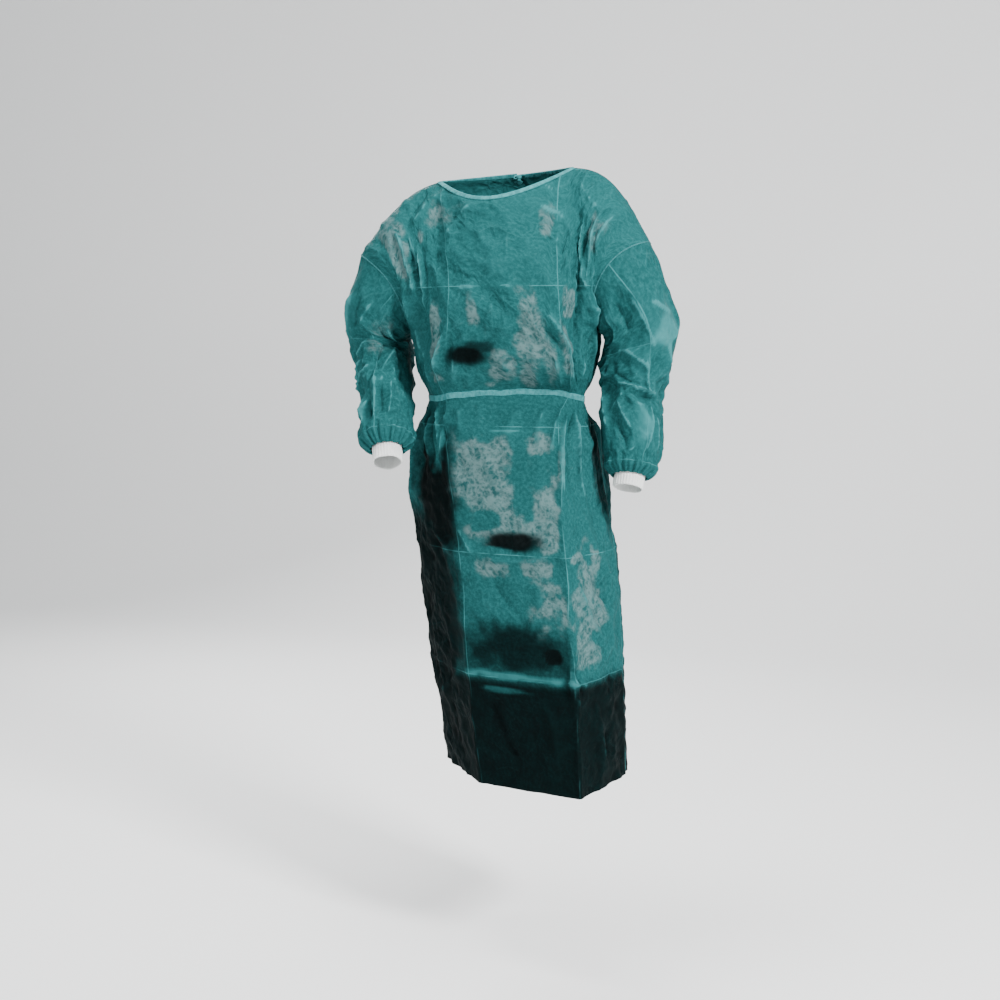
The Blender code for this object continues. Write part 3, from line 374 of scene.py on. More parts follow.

# Patches of painted light and shade: dark is painted shade where the cloth hangs free and the unlit inside
# shows through, grey a painted reflection, as of a glossy figure under the cloth where it clings, and pale a
# painted highlight. A teal patch clears dark and grey. Sizes are half-widths in strips and metres.
Patch = namedtuple("Patch", "kind place height half_place half_height amount")
BODY_PATCHES = (
    Patch("dark", 0.74, -0.622, 0.42, 0.150, 1.00),
    Patch("dark", 0.60, -0.860, 0.48, 0.170, 0.88),
    Patch("dark", 1.49, -0.925, 0.55, 0.062, 0.84),
    Patch("dark", 2.86, -0.600, 0.16, 0.140, 0.70),
    Patch("dark", 0.20, -0.350, 0.20, 0.090, 0.45),
    Patch("dark", 2.75, -0.400, 0.20, 0.090, 0.30),
    Patch("dark", 3.30, -0.700, 0.30, 0.200, 0.55),
    Patch("dark", 5.50, -0.750, 0.40, 0.200, 0.70),
    Patch("grey", 1.31, -0.590, 0.25, 0.066, 1.00),
    Patch("grey", 1.45, -0.690, 0.28, 0.040, 0.95),
    Patch("grey", 1.85, -0.657, 0.13, 0.076, 0.90),
    Patch("grey", 1.78, -0.535, 0.15, 0.020, 0.70),
    Patch("grey", 1.35, -0.777, 0.15, 0.020, 0.80),
    Patch("grey", 1.71, -0.768, 0.14, 0.020, 0.80),
    Patch("grey", 1.80, -0.838, 0.17, 0.055, 0.85),
    Patch("grey", 2.32, -0.826, 0.26, 0.080, 0.90),
    Patch("grey", 2.24, -0.925, 0.18, 0.030, 0.80),
    Patch("grey", 2.16, -0.750, 0.12, 0.010, 1.00),
    Patch("grey", 0.32, -0.145, 0.13, 0.060, 0.95),
    Patch("grey", 1.04, -0.085, 0.22, 0.024, 0.60),
    Patch("grey", 0.70, -0.134, 0.07, 0.022, 0.70),
    Patch("grey", 0.89, -0.319, 0.08, 0.055, 0.85),
    Patch("grey", 1.28, -0.273, 0.05, 0.025, 0.70),
    Patch("grey", 1.72, -0.308, 0.11, 0.072, 0.85),
    Patch("grey", 1.87, -0.369, 0.06, 0.040, 0.80),
    Patch("grey", 1.67, -0.407, 0.06, 0.016, 0.80),
    Patch("grey", 1.49, -0.384, 0.09, 0.036, 0.80),
    Patch("grey", 2.19, -0.263, 0.13, 0.032, 0.80),
    Patch("grey", 2.08, -0.349, 0.09, 0.045, 0.75),
    Patch("grey", 2.61, -0.138, 0.12, 0.035, 0.85),
    Patch("grey", 1.87, -0.103, 0.04, 0.032, 0.75),
    Patch("grey", 0.92, -0.408, 0.11, 0.012, 0.70),
    Patch("grey", 1.39, -0.420, 0.07, 0.010, 0.70),
    Patch("grey", 2.00, -0.560, 0.05, 0.070, 0.60),
    Patch("grey", 4.30, -0.160, 0.35, 0.070, 0.80),
    Patch("grey", 5.10, -0.200, 0.30, 0.080, 0.80),
    Patch("grey", 4.40, -0.620, 0.40, 0.090, 0.90),
    Patch("teal", 1.72, -0.590, 0.17, 0.032, 1.00),
    Patch("teal", 1.31, -0.684, 0.13, 0.020, 1.00),
    Patch("teal", 1.45, -0.818, 0.30, 0.030, 1.00),
    Patch("teal", 0.82, -0.510, 0.15, 0.060, 1.00),
    Patch("dark", 1.81, -0.935, 0.12, 0.022, 1.00),
    Patch("dark", 1.21, -0.363, 0.20, 0.024, 1.00),
    Patch("dark", 1.32, -0.348, 0.16, 0.016, 0.75),
    Patch("dark", 1.52, -0.722, 0.26, 0.022, 1.00),
    Patch("teal", 1.39, -0.739, 0.13, 0.008, 1.00),
    Patch("pale", 1.47, -0.981, 0.42, 0.008, 0.80),
    Patch("pale", 1.36, -1.009, 0.22, 0.005, 0.60),
    # a painted glint of light through a fold near the right armhole
    Patch("pale", 0.52, -0.160, 0.03, 0.043, 1.00),
    Patch("pale", 1.24, -0.231, 0.07, 0.004, 1.00),
    Patch("pale", 1.54, -0.229, 0.07, 0.004, 1.00),
    Patch("pale", 1.51, -0.508, 0.16, 0.004, 1.00),
)
FRONT_GRID = (150, 300)
BACK_GRID = (84, 220)


def smooth_step(t):
    """Rises from 0 to 1 with no slope at either end: 3 t squared less 2 t cubed."""
    t = np.clip(t, 0.0, 1.0)
    return t * t * (3 - 2 * t)


def unit(vectors):
    """The same directions with a length of one."""
    return vectors / np.linalg.norm(vectors, axis=-1, keepdims=True)


def hermite(start, end, leave, arrive, t):
    """The cubic from start to end that leaves and arrives with the given velocities."""
    rise = t * t * (3 - 2 * t)
    return start * (1 - rise) + end * rise + leave * t * (1 - t) ** 2 + arrive * t * t * (t - 1)


def smooth_through(at, known_at, known):
    """A smooth curve through known values: a cubic in each gap with slopes from the neighbours."""
    known_at = np.asarray(known_at, float)
    known = np.asarray(known, float)
    slopes = np.gradient(known, known_at, axis=0)
    i = np.clip(np.searchsorted(known_at, at, side="right") - 1, 0, len(known_at) - 2)
    span = known_at[i + 1] - known_at[i]
    t = (at - known_at[i]) / span
    t, span = (a.reshape(a.shape + (1,) * (known.ndim - 1)) for a in (t, span))
    return hermite(known[i], known[i + 1], span * slopes[i], span * slopes[i + 1], t)


def fold_lines(height):
    """Where the six lines of BODY_SECTIONS stand at these heights, and how sharp the front two are."""
    table = smooth_through(height, [s.height for s in BODY_SECTIONS], [s[1:] for s in BODY_SECTIONS])
    return table[..., 1:].reshape(table.shape[:-1] + (6, 2)), table[..., :1]


def ring_points(place, height):
    """The worn tube below the armpits: a closed curve past the six lines, a cubic between each two."""
    lines, sharp = fold_lines(height)
    chords = np.roll(lines, -1, axis=-2) - lines
    chords_before = np.roll(chords, 1, axis=-2)
    strip = np.mod(np.floor(place), 6).astype(int)
    after = np.mod(strip + 1, 6)

    def pick(values, index):
        return np.take_along_axis(values, index[..., None, None], axis=-2)[..., 0, :]

    own_chord = pick(chords, strip)

    def velocity(index):
        corner = sharp * np.where((index == 1) | (index == 2), 1.0, 0.15)[..., None]
        rounded = (pick(chords, index) + pick(chords_before, index)) / 2
        return rounded * (1 - corner) + own_chord * corner

    share = (place - np.floor(place))[..., None]
    flat = hermite(pick(lines, strip), pick(lines, after), velocity(strip), velocity(after), share)
    return np.concatenate([flat, height[..., None]], axis=-1)


def shoulder_line(share, tip, neck, arch):
    """From the shoulder's tip to the neck: a straight line lifted by half a sine wave."""
    share = np.clip(share, 0, 1)[..., None]
    straight = (1 - share) * np.array(tip) + share * np.array(neck)
    return straight + np.array([0, SHOULDER_BOW, arch]) * np.sin(math.pi * share)


def neck_line(share, drop):
    """From the right end of the neck to the left one: a straight line scooped by half a sine wave."""
    share = np.clip(share, 0, 1)[..., None]
    straight = (1 - share) * np.array(NECK_RIGHT) + share * np.array(NECK_LEFT)
    return straight + np.array(drop) * np.sin(math.pi * share)


def top_edge(place):
    """The shoulder lines and the neck, for any place round the body."""
    strip = np.mod(np.floor(place), 6)[..., None]
    from_right = np.where(place < 3, place, 6 - place)
    from_left = np.abs(place - 3)
    right = shoulder_line(from_right, TIP_RIGHT, NECK_RIGHT, SHOULDER_ARCH_RIGHT)
    left = shoulder_line(from_left, TIP_LEFT, NECK_LEFT, SHOULDER_ARCH_LEFT)
    front = neck_line(place - 1, NECK_FRONT_DROP)
    back = neck_line(5 - place, NECK_BACK_DROP)
    return np.select([strip == 1, strip == 2, strip == 3, strip == 4], [front, left, left, back], right)


def armhole(turn, side):
    """The seam of a sleeve: an ellipse tilted from under the arm to the shoulder's tip, and hollowed."""
    if side == "left":
        tip, hollow, place = TIP_LEFT, ARMHOLE_HOLLOW_LEFT, 3.0
    else:
        tip, hollow, place = TIP_RIGHT, ARMHOLE_HOLLOW_RIGHT, 0.0
    under = ring_points(np.array([place]), np.array([ARMPIT_HEIGHT]))[0]
    turn = np.asarray(turn, float)[..., None]
    middle = (np.array(tip) + under) / 2
    around = (under - np.array(tip)) / 2 * np.cos(turn) - np.array([0, ARMHOLE_DEPTH, 0]) * np.sin(turn)
    return middle + around + np.array(hollow) * np.sin(turn) ** 2


def yoke_points(place, share, forward):
    """Above the armpits: a cubic from the top ring to the top edge, pulled over to the armholes."""

    def lofted(at):
        low = ring_points(at, np.full_like(share, ARMPIT_HEIGHT))
        high = top_edge(at)
        near_middle = smooth_step(1 - np.minimum(np.abs(at - 1.5), np.abs(at - 4.5)) / MIDDLE_REACH)
        still = np.zeros_like(at)
        over = -forward * (SHOULDER_OVER + (NECK_OVER - SHOULDER_OVER) * near_middle)
        rise = SHOULDER_RISE + (NECK_RISE - SHOULDER_RISE) * near_middle
        leave = np.stack([still, still + CHEST_BOW * forward, high[..., 2] - low[..., 2]], axis=-1)
        arrive = np.stack([still, over, rise], axis=-1)
        return hermite(low, high, leave, arrive, share[..., None])

    points = lofted(place)
    for side, edge in (("right", 0.0 if forward < 0 else 6.0), ("left", 3.0)):
        hold = smooth_step(1 - np.abs(place - edge))[..., None]
        seam = armhole(-forward * math.pi * share, side)
        points = points + hold * (seam - lofted(np.full_like(place, edge)))
    return points


def fold_lift(place, height):
    """The large folds: bell-shaped across and faded at both ends, held flat by the belt and the seams."""
    lift = np.zeros_like(height)
    for fold in BODY_FOLDS:
        centre = fold.place + fold.drift * (fold.top - height)
        across = np.exp(-(((place - centre) / fold.width) ** 2))
        begins = smooth_step((fold.top - height) / FOLD_FADE)
        ends = smooth_step((height - fold.bottom) / FOLD_FADE)
        lift += fold.depth * across * begins * ends
    pinched = 1 - BELT_HOLD * np.exp(-(((height - BELT_HEIGHT) / BELT_HOLD_HEIGHT) ** 2))
    near_seam = np.abs(place - 3 * np.round(place / 3))
    return lift * pinched * smooth_step(near_seam / SEAM_STILL)


def belt_rise(place, height):
    """The belt rides up a little across the front and takes the cloth near it along."""
    near_belt = np.exp(-(((height - BELT_HEIGHT) / BELT_RISE_HEIGHT) ** 2))
    below_armpit = smooth_step((ARMPIT_HEIGHT - height) / ARMPIT_FADE)
    across = np.exp(-(((place - BELT_RISE_PLACE) / BELT_RISE_WIDTH) ** 2))
    return near_belt * below_armpit * (BELT_RISE * across - BELT_SAG)


def gown_points(place, level, forward):
    """The outer surface of the solids. level runs from 0 at the hem to 1 at the armpits and 2 at the top;
    forward is -1 for the front and 1 for the backs."""
    height = HEM_HEIGHT + np.clip(level, 0, 1) * (ARMPIT_HEIGHT - HEM_HEIGHT)
    ring = ring_points(place, height)
    yoke = yoke_points(place, np.clip(level - 1, 0, 1), forward)
    points = np.where((level <= 1)[..., None], ring, yoke)
    outward = ring[..., :2] - fold_lines(height)[0].mean(axis=-2)
    lift = fold_lift(place, points[..., 2]) * smooth_step((2 - level) / SHOULDER_FADE)
    points[..., :2] += unit(outward) * lift[..., None]
    points[..., 2] += belt_rise(place, height)
    return points


def grid_normals(points):
    """The outward direction at each point of a grid whose rows run up and whose columns run round."""
    return unit(np.cross(np.gradient(points, axis=1), np.gradient(points, axis=0)))


LATTICE = 97
SCATTER = 89
NOISE_START = (40.3, 40.7)
CRUMPLE_LEVEL = 0.35
CREASE_FADE = 0.25
CREASE_POINT = 1.15


def noise_cells(u, v, cell):
    """The cell that each point lies in, and its place in cells from the corner of the pattern."""
    x, y = u / cell + NOISE_START[0], v / cell + NOISE_START[1]
    return np.floor(x).astype(int), np.floor(y).astype(int), x, y


def soft_noise(u, v, cell, seed):
    """Smooth noise from 0 to 1: random values on a square lattice, blended with smooth steps."""
    lattice = np.random.default_rng(seed).random((LATTICE, LATTICE))
    i, j, x, y = noise_cells(u, v, cell)
    a, b = smooth_step(x - i), smooth_step(y - j)
    low, high = (
        lattice[i % LATTICE, row % LATTICE] * (1 - a) + lattice[(i + 1) % LATTICE, row % LATTICE] * a
        for row in (j, j + 1)
    )
    return low * (1 - b) + high * b


def crumple(u, v, cell, seed):
    """Sharp ridges round shallow dents, as in crumpled paper: less the difference between the distances to
    the nearest two of the points scattered one to a cell, in cells."""
    scatter = np.random.default_rng(seed).random((2, SCATTER, SCATTER))
    i, j, x, y = noise_cells(u, v, cell)
    nearest = np.full(x.shape, np.inf)
    second = nearest.copy()
    for a in range(-2, 3):
        for b in range(-2, 3):
            at = ((i + a) % SCATTER, (j + b) % SCATTER)
            far = np.hypot(i + a + scatter[0][at] - x, j + b + scatter[1][at] - y)
            second = np.minimum(second, np.maximum(nearest, far))
            nearest = np.minimum(nearest, far)
    return CRUMPLE_LEVEL - (second - nearest)


def crumples(u, v, kinds):
    """The sum of several sizes of crumple, in metres."""
    return sum(k.rise * crumple(u + k.skew * v, v * k.squeeze, k.cell, k.seed) for k in kinds)


def crease_lift(u, v, creases, step_u):
    """Rounded ridges and troughs along bowed lines: a pointed bell across, faded at both ends."""
    lift = np.zeros_like(u)
    for crease in creases:
        start = np.array([crease[0] * step_u, crease[1]])
        way = np.array([crease[2] * step_u, crease[3]]) - start
        length = np.hypot(way[0], way[1])
        along = ((u - start[0]) * way[0] + (v - start[1]) * way[1]) / length**2
        side = ((u - start[0]) * way[1] - (v - start[1]) * way[0]) / length
        inside = np.clip(along, 0, 1)
        side = side - crease.bow * 4 * inside * (1 - inside)
        fade = smooth_step(along / CREASE_FADE) * smooth_step((1 - along) / CREASE_FADE)
        lift += crease.depth * fade * np.exp(-(np.abs(side / crease.width) ** CREASE_POINT))
    return lift


def packing_place(place, height):
    """The place counted from packing crease to packing crease, so that each crease is a whole number."""
    heights = [line.height for line in PACKING_LINES]
    counted = place
    for whole, side in ((1, "right"), (2, "left")):
        off = np.interp(height, heights, [getattr(line, side) for line in PACKING_LINES]) - whole
        counted = counted - off * np.exp(-(((place - whole) / PACKING_PULL) ** 2))
    return counted


def packing_height(height):
    """The height counted in packing creases, a whole number at each."""
    known = (HEM_HEIGHT,) + PACKING_HEIGHTS + (0.0,)
    return np.interp(height, known, (0.15, 1.0, 2.0, 3.0, 4.0, 5.0))


def off_whole(values):
    """How far each value is from the nearest whole number."""
    return (values + 0.5) % 1.0 - 0.5


def crumpled(place, height):
    """How crumpled the body is: most at its sides, nearly so above the belt, and calm in the skirt."""
    upper = UPPER_SHARE * smooth_step((height - UPPER_START) / UPPER_FADE)
    from_middle = np.abs(place - 1.5 - 3 * (place > 3))
    return CALM + (1 - CALM) * np.maximum(upper, smooth_step((from_middle - SIDE_START) / SIDE_FADE))


def body_relief(place, level, height):
    """Everything the solids leave out: packing ridges, laid creases and fine crumples, in metres. Also
    returned without the packing ridges."""
    u, v = place * STRIP, height
    across = off_whole(packing_place(place, height)) * STRIP
    upward = off_whole(packing_height(height)) * PACKING_STEP
    ridges = np.exp(-np.abs(across) / PACKING_RIDGE_WIDTH)
    ridges += LEVEL_RIDGE_SHARE * np.exp(-np.abs(upward) / PACKING_RIDGE_WIDTH)
    ridges *= 0.4 + 0.9 * soft_noise(u, v, 0.11, 5)
    laid = BODY_CREASE_RISE * crease_lift(u, v, BODY_CREASES, STRIP)
    laid += crumpled(place, height) * crumples(u, v, BODY_CRUMPLES)
    still = 1 - BELT_STILL * np.exp(-(((height - BELT_HEIGHT) / BELT_STILL_HEIGHT) ** 2))
    still *= smooth_step(np.abs(place - 3 * np.round(place / 3)) / SEAM_CALM)
    still *= smooth_step((2 - level - NECK_STILL) / NECK_CALM)
    return (PACKING_RIDGE * ridges + laid) * still, laid * still


# Strengths of the painted highlights on crests and of the painted shade in dents.
CREST_START, CREST_RUN = 0.0012, 0.0060
SHARP_START, DEEP_START, SHARP_RUN = 0.14, 0.08, 0.50
CREST_LIGHT, SHARP_LIGHT = 0.35, 0.72
DENT_DARK, DEEP_DARK = 0.16, 0.16


def painted_crease_light(tone, laid, cell):
    """Painted highlights on crests and painted shade in dents, most where they are sharp: added to the
    colour parts. Sharpness is the change of slope from one cell of the grid to the next, both ways,
    smoothed."""
    bend = np.zeros_like(laid)
    bend[1:-1] += (2 * laid[1:-1] - laid[2:] - laid[:-2]) / cell
    bend[:, 1:-1] += (2 * laid[:, 1:-1] - laid[:, 2:] - laid[:, :-2]) / cell
    for axis in (0, 1):
        bend = (np.roll(bend, 1, axis) + 2 * bend + np.roll(bend, -1, axis)) / 4
    light = CREST_LIGHT * smooth_step((laid - CREST_START) / CREST_RUN)
    light += SHARP_LIGHT * smooth_step((bend - SHARP_START) / SHARP_RUN)
    shadow = DENT_DARK * smooth_step((-laid - CREST_START) / CREST_RUN)
    shadow += DEEP_DARK * smooth_step((-bend - DEEP_START) / SHARP_RUN)
    tone[..., 2] = np.clip(tone[..., 2] + light, 0, 1)
    tone[..., 0] = np.clip(tone[..., 0] + shadow, 0, 1)
    return tone


def cell_corners(rows, columns, closed):
    """Row and column of the four corners of each cell of a grid. A closed grid has one more column of
    cells."""
    last = columns if closed else columns - 1
    r, c = np.meshgrid(np.arange(rows - 1), np.arange(last), indexing="ij")
    r, c = r.ravel(), c.ravel()
    return np.stack([r, r, r + 1, r + 1], axis=1), np.stack([c, c + 1, c + 1, c], axis=1)


def new_piece(name, mesh, material, sharp):
    """A finished mesh as a smooth object of the garment, its edges sharp from this angle in degrees."""
    mesh.shade_smooth()
    mesh.set_sharp_from_angle(angle=math.radians(sharp))
    mesh.materials.append(material)
    piece = bpy.data.objects.new(name, mesh)
    bpy.context.scene.collection.objects.link(piece)
    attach(piece, "root")
    return piece


def shell_object(name, outer, inner, closed, maps, tone, material):
    """A closed shell between two grids: both faces and the rims that join them, turned outwards.
    maps names a UV grid each; tone is the colour attribute of the grid points."""
    rows, columns = outer.shape[:2]
    count = rows * columns
    r, c = cell_corners(rows, columns, closed)
    face = r * columns + c % columns
    rim_row, rim_column = [], []
    line = np.arange(columns if closed else columns - 1)
    for row, a, b in ((0, line, line + 1), (rows - 1, line + 1, line)):
        rim_row.append(np.full((len(line), 4), row))
        rim_column.append(np.stack([a, a, b, b], axis=1))
    if not closed:
        tall = np.arange(rows - 1)
        for column, a, b in ((columns - 1, tall, tall + 1), (0, tall + 1, tall)):
            rim_row.append(np.stack([a, a, b, b], axis=1))
            rim_column.append(np.full((len(tall), 4), column))
    rim_row, rim_column = np.concatenate(rim_row), np.concatenate(rim_column)
    rim = rim_row * columns + rim_column % columns + np.array([0, count, count, 0])
    faces = np.concatenate([face, face[:, ::-1] + count, rim])
    loop_row = np.concatenate([r, r[:, ::-1], rim_row])
    loop_column = np.concatenate([c, c[:, ::-1], rim_column])
    vertices = np.concatenate([outer.reshape(-1, 3), inner.reshape(-1, 3)])
    corner = vertices[faces]
    volume = np.einsum("ij,ij->", corner[:, 0], np.cross(corner[:, 1], corner[:, 2]))
    volume += np.einsum("ij,ij->", corner[:, 0], np.cross(corner[:, 2], corner[:, 3]))
    if volume < 0:
        faces, loop_row, loop_column = faces[:, ::-1], loop_row[:, ::-1], loop_column[:, ::-1]
    mesh = bpy.data.meshes.new(name)
    mesh.from_pydata(vertices.tolist(), [], faces.tolist())
    for layer_name, values in maps.items():
        layer = mesh.uv_layers.new(name=layer_name)
        layer.data.foreach_set("uv", values[loop_row, loop_column].reshape(-1).astype(np.float32))
    if tone is not None:
        paint = mesh.color_attributes.new("tone", "FLOAT_COLOR", "POINT")
        four = tone.reshape(-1, 4)
        paint.data.foreach_set("color", np.concatenate([four, four]).reshape(-1).astype(np.float32))
    return new_piece(name, mesh, material, 60)


def add_node(tree, kind, **inputs):
    """A shader node; each input is a number, a colour or a socket that is linked to it."""
    node = tree.nodes.new(kind)
    for name, value in inputs.items():
        set_input(tree, node, name.replace("_", " "), value)
    return node


def set_input(tree, node, name, value):
    """Sets a node's input by its name or number to a value, or links a socket to it."""
    socket = node.inputs[name]
    if isinstance(value, bpy.types.NodeSocket):
        tree.links.new(value, socket)
    else:
        socket.default_value = value


def calc(tree, operation, *values):
    """One Math node on sockets or numbers; the result is a socket."""
    node = tree.nodes.new("ShaderNodeMath")
    node.operation = operation
    for index, value in enumerate(values):
        set_input(tree, node, index, value)
    return node.outputs[0]


def times(tree, first, second):
    """The product of two sockets or numbers."""
    return calc(tree, "MULTIPLY", first, second)


def plus(tree, first, second):
    """The sum of two sockets or numbers."""
    return calc(tree, "ADD", first, second)


def minus(tree, first, second):
    """The difference of two sockets or numbers."""
    return calc(tree, "SUBTRACT", first, second)


def ramp(tree, value, low, high):
    """A smooth step of a socket from 0 at low to 1 at high."""
    node = tree.nodes.new("ShaderNodeMapRange")
    node.interpolation_type = "SMOOTHSTEP"
    for name, setting in (("Value", value), ("From Min", low), ("From Max", high)):
        set_input(tree, node, name, setting)
    return node.outputs["Result"]


def blended(tree, share, first, second):
    """A Mix node between two colours."""
    node = tree.nodes.new("ShaderNodeMix")
    node.data_type = "RGBA"
    for index, value in ((0, share), (6, first), (7, second)):
        set_input(tree, node, index, value)
    return node.outputs[2]


def speckle(tree, vector, scale, detail, rough):
    """The Fac of a Noise texture."""
    node = add_node(tree, "ShaderNodeTexNoise", Vector=vector, Scale=scale, Detail=detail, Roughness=rough)
    return node.outputs["Fac"]


def bumped(tree, layers):
    """A chain of Bump nodes, for layers of a height socket, a strength and a distance in metres."""
    below = None
    for height, strength, distance in layers:
        bump = add_node(tree, "ShaderNodeBump", Height=height, Strength=strength, Distance=distance)
        if below is not None:
            tree.links.new(below, bump.inputs["Normal"])
        below = bump.outputs["Normal"]
    return below


def uv_map(tree, name):
    """One of the piece's UV maps: "cut" is in metres on the flat cloth, "folds" counts packing creases."""
    node = tree.nodes.new("ShaderNodeUVMap")
    node.uv_map = name
    return node.outputs["UV"]


POINT_PITCH = 0.00115


def nonwoven_group():
    """Node group of the spunbonded cloth: cloudy fibre density, flecks, and the height of the fibres with a
    lattice of small bonded points, where the product of two sine waves turned by 45 degrees is high."""
    group = bpy.data.node_groups.new("nonwoven", "ShaderNodeTree")
    group.interface.new_socket("Vector", in_out="INPUT", socket_type="NodeSocketVector")
    for name in ("Cloud", "Fleck", "Height"):
        group.interface.new_socket(name, in_out="OUTPUT", socket_type="NodeSocketFloat")
    vector = group.nodes.new("NodeGroupInput").outputs["Vector"]
    leave = group.nodes.new("NodeGroupOutput")
    cloud = speckle(group, vector, scale=150.0, detail=5.0, rough=0.62)
    fleck = speckle(group, vector, scale=330.0, detail=3.0, rough=0.6)
    axes = add_node(group, "ShaderNodeSeparateXYZ", Vector=vector)
    x, y = axes.outputs["X"], axes.outputs["Y"]
    waves = [calc(group, "SINE", times(group, line, math.pi / POINT_PITCH))
             for line in (plus(group, x, y), minus(group, x, y))]
    point = ramp(group, times(group, waves[0], waves[1]), 0.35, 0.85)
    height = minus(group, times(group, fleck, 0.6), times(group, point, 0.35))
    for name, socket in (("Cloud", cloud), ("Fleck", fleck), ("Height", height)):
        group.links.new(socket, leave.inputs[name])
    return group


NONWOVEN = nonwoven_group()
TEAL = (0.0085, 0.066, 0.067, 1.0)
TEAL_PALE = (0.020, 0.115, 0.119, 1.0)
TEAL_DEEP = (0.0022, 0.034, 0.036, 1.0)
# the light teal of the painted highlights on crests and creases
TEAL_CREASE_HIGHLIGHT = (0.060, 0.250, 0.260, 1.0)
# colours of the painted reflection where the cloth clings
CLING_REFLECTION_DEEP = (0.012, 0.052, 0.054, 1.0)
CLING_REFLECTION_LIGHT = (0.108, 0.182, 0.184, 1.0)
# the colour of the painted shade, for the unlit inside and the dents
PAINTED_SHADE = (0.0017, 0.0019, 0.0020, 1.0)


def nonwoven(tree, cut):
    """The outputs of the nonwoven group on this cut."""
    cloth = tree.nodes.new("ShaderNodeGroup")
    cloth.node_tree = NONWOVEN
    tree.links.new(cut, cloth.inputs["Vector"])
    return cloth.outputs


def crumple_sockets(tree, cut, amount):
    """Fine crumples: the borders of scattered cells as thin lines for a painted highlight, and the distance
    from them as facets for the bump, at two sizes of cell, on a cut that is bent a little by noise."""
    noise = add_node(tree, "ShaderNodeTexNoise", Vector=cut, Scale=14.0, Detail=2.0)
    shift = add_node(tree, "ShaderNodeVectorMath", Vector=noise.outputs["Color"])
    shift.operation = "SCALE"
    shift.inputs["Scale"].default_value = 0.030
    bent = tree.nodes.new("ShaderNodeVectorMath")
    bent.operation = "ADD"
    tree.links.new(cut, bent.inputs[0])
    tree.links.new(shift.outputs["Vector"], bent.inputs[1])
    edges, facets = [], []
    for scale, share in ((21.0, 1.0), (47.0, 0.5)):
        cells = add_node(tree, "ShaderNodeTexVoronoi", Vector=bent.outputs["Vector"], Scale=scale)
        cells.feature = "DISTANCE_TO_EDGE"
        edges.append(times(tree, ramp(tree, cells.outputs["Distance"], 0.045, 0.0), share))
        facets.append(times(tree, cells.outputs["Distance"], share))
    patches = ramp(tree, speckle(tree, cut, scale=11.0, detail=3.0, rough=0.55), 0.40, 0.62)
    kept = times(tree, patches, amount)
    return times(tree, calc(tree, "MAXIMUM", *edges), kept), times(tree, plus(tree, *facets), kept)


def packing_lines(tree, cut, patchy):
    """A mask of the packing creases, for their painted highlight and bump: a thin line at each whole number
    of the folds map, a little wandering and broken by noise."""
    axes = add_node(tree, "ShaderNodeSeparateXYZ", Vector=uv_map(tree, "folds"))
    wander = times(tree, minus(tree, patchy, 0.5), 0.012)
    lines = []
    for axis, width in (("X", 0.0080), ("Y", 0.0070)):
        strayed = plus(tree, axes.outputs[axis], wander)
        off = minus(tree, calc(tree, "FRACT", plus(tree, strayed, 0.5)), 0.5)
        lines.append(ramp(tree, calc(tree, "ABSOLUTE", off), width, 0.0))
    broken = ramp(tree, speckle(tree, cut, scale=16.0, detail=3.0, rough=0.5), 0.38, 0.56)
    return times(tree, calc(tree, "MAXIMUM", *lines), broken)


def cling_reflection(tree, cut, patchy):
    """The painted reflection on cloth that clings, a mottled grey: fine veins where a noise is near its
    middle, and clouds.
    """
    veins = speckle(tree, cut, scale=68.0, detail=2.0, rough=0.5)
    vein = ramp(tree, calc(tree, "ABSOLUTE", minus(tree, veins, 0.5)), 0.16, 0.0)
    mottle = plus(tree, times(tree, vein, 0.50), times(tree, ramp(tree, patchy, 0.38, 0.62), 0.62))
    return blended(tree, mottle, CLING_REFLECTION_DEEP, CLING_REFLECTION_LIGHT)


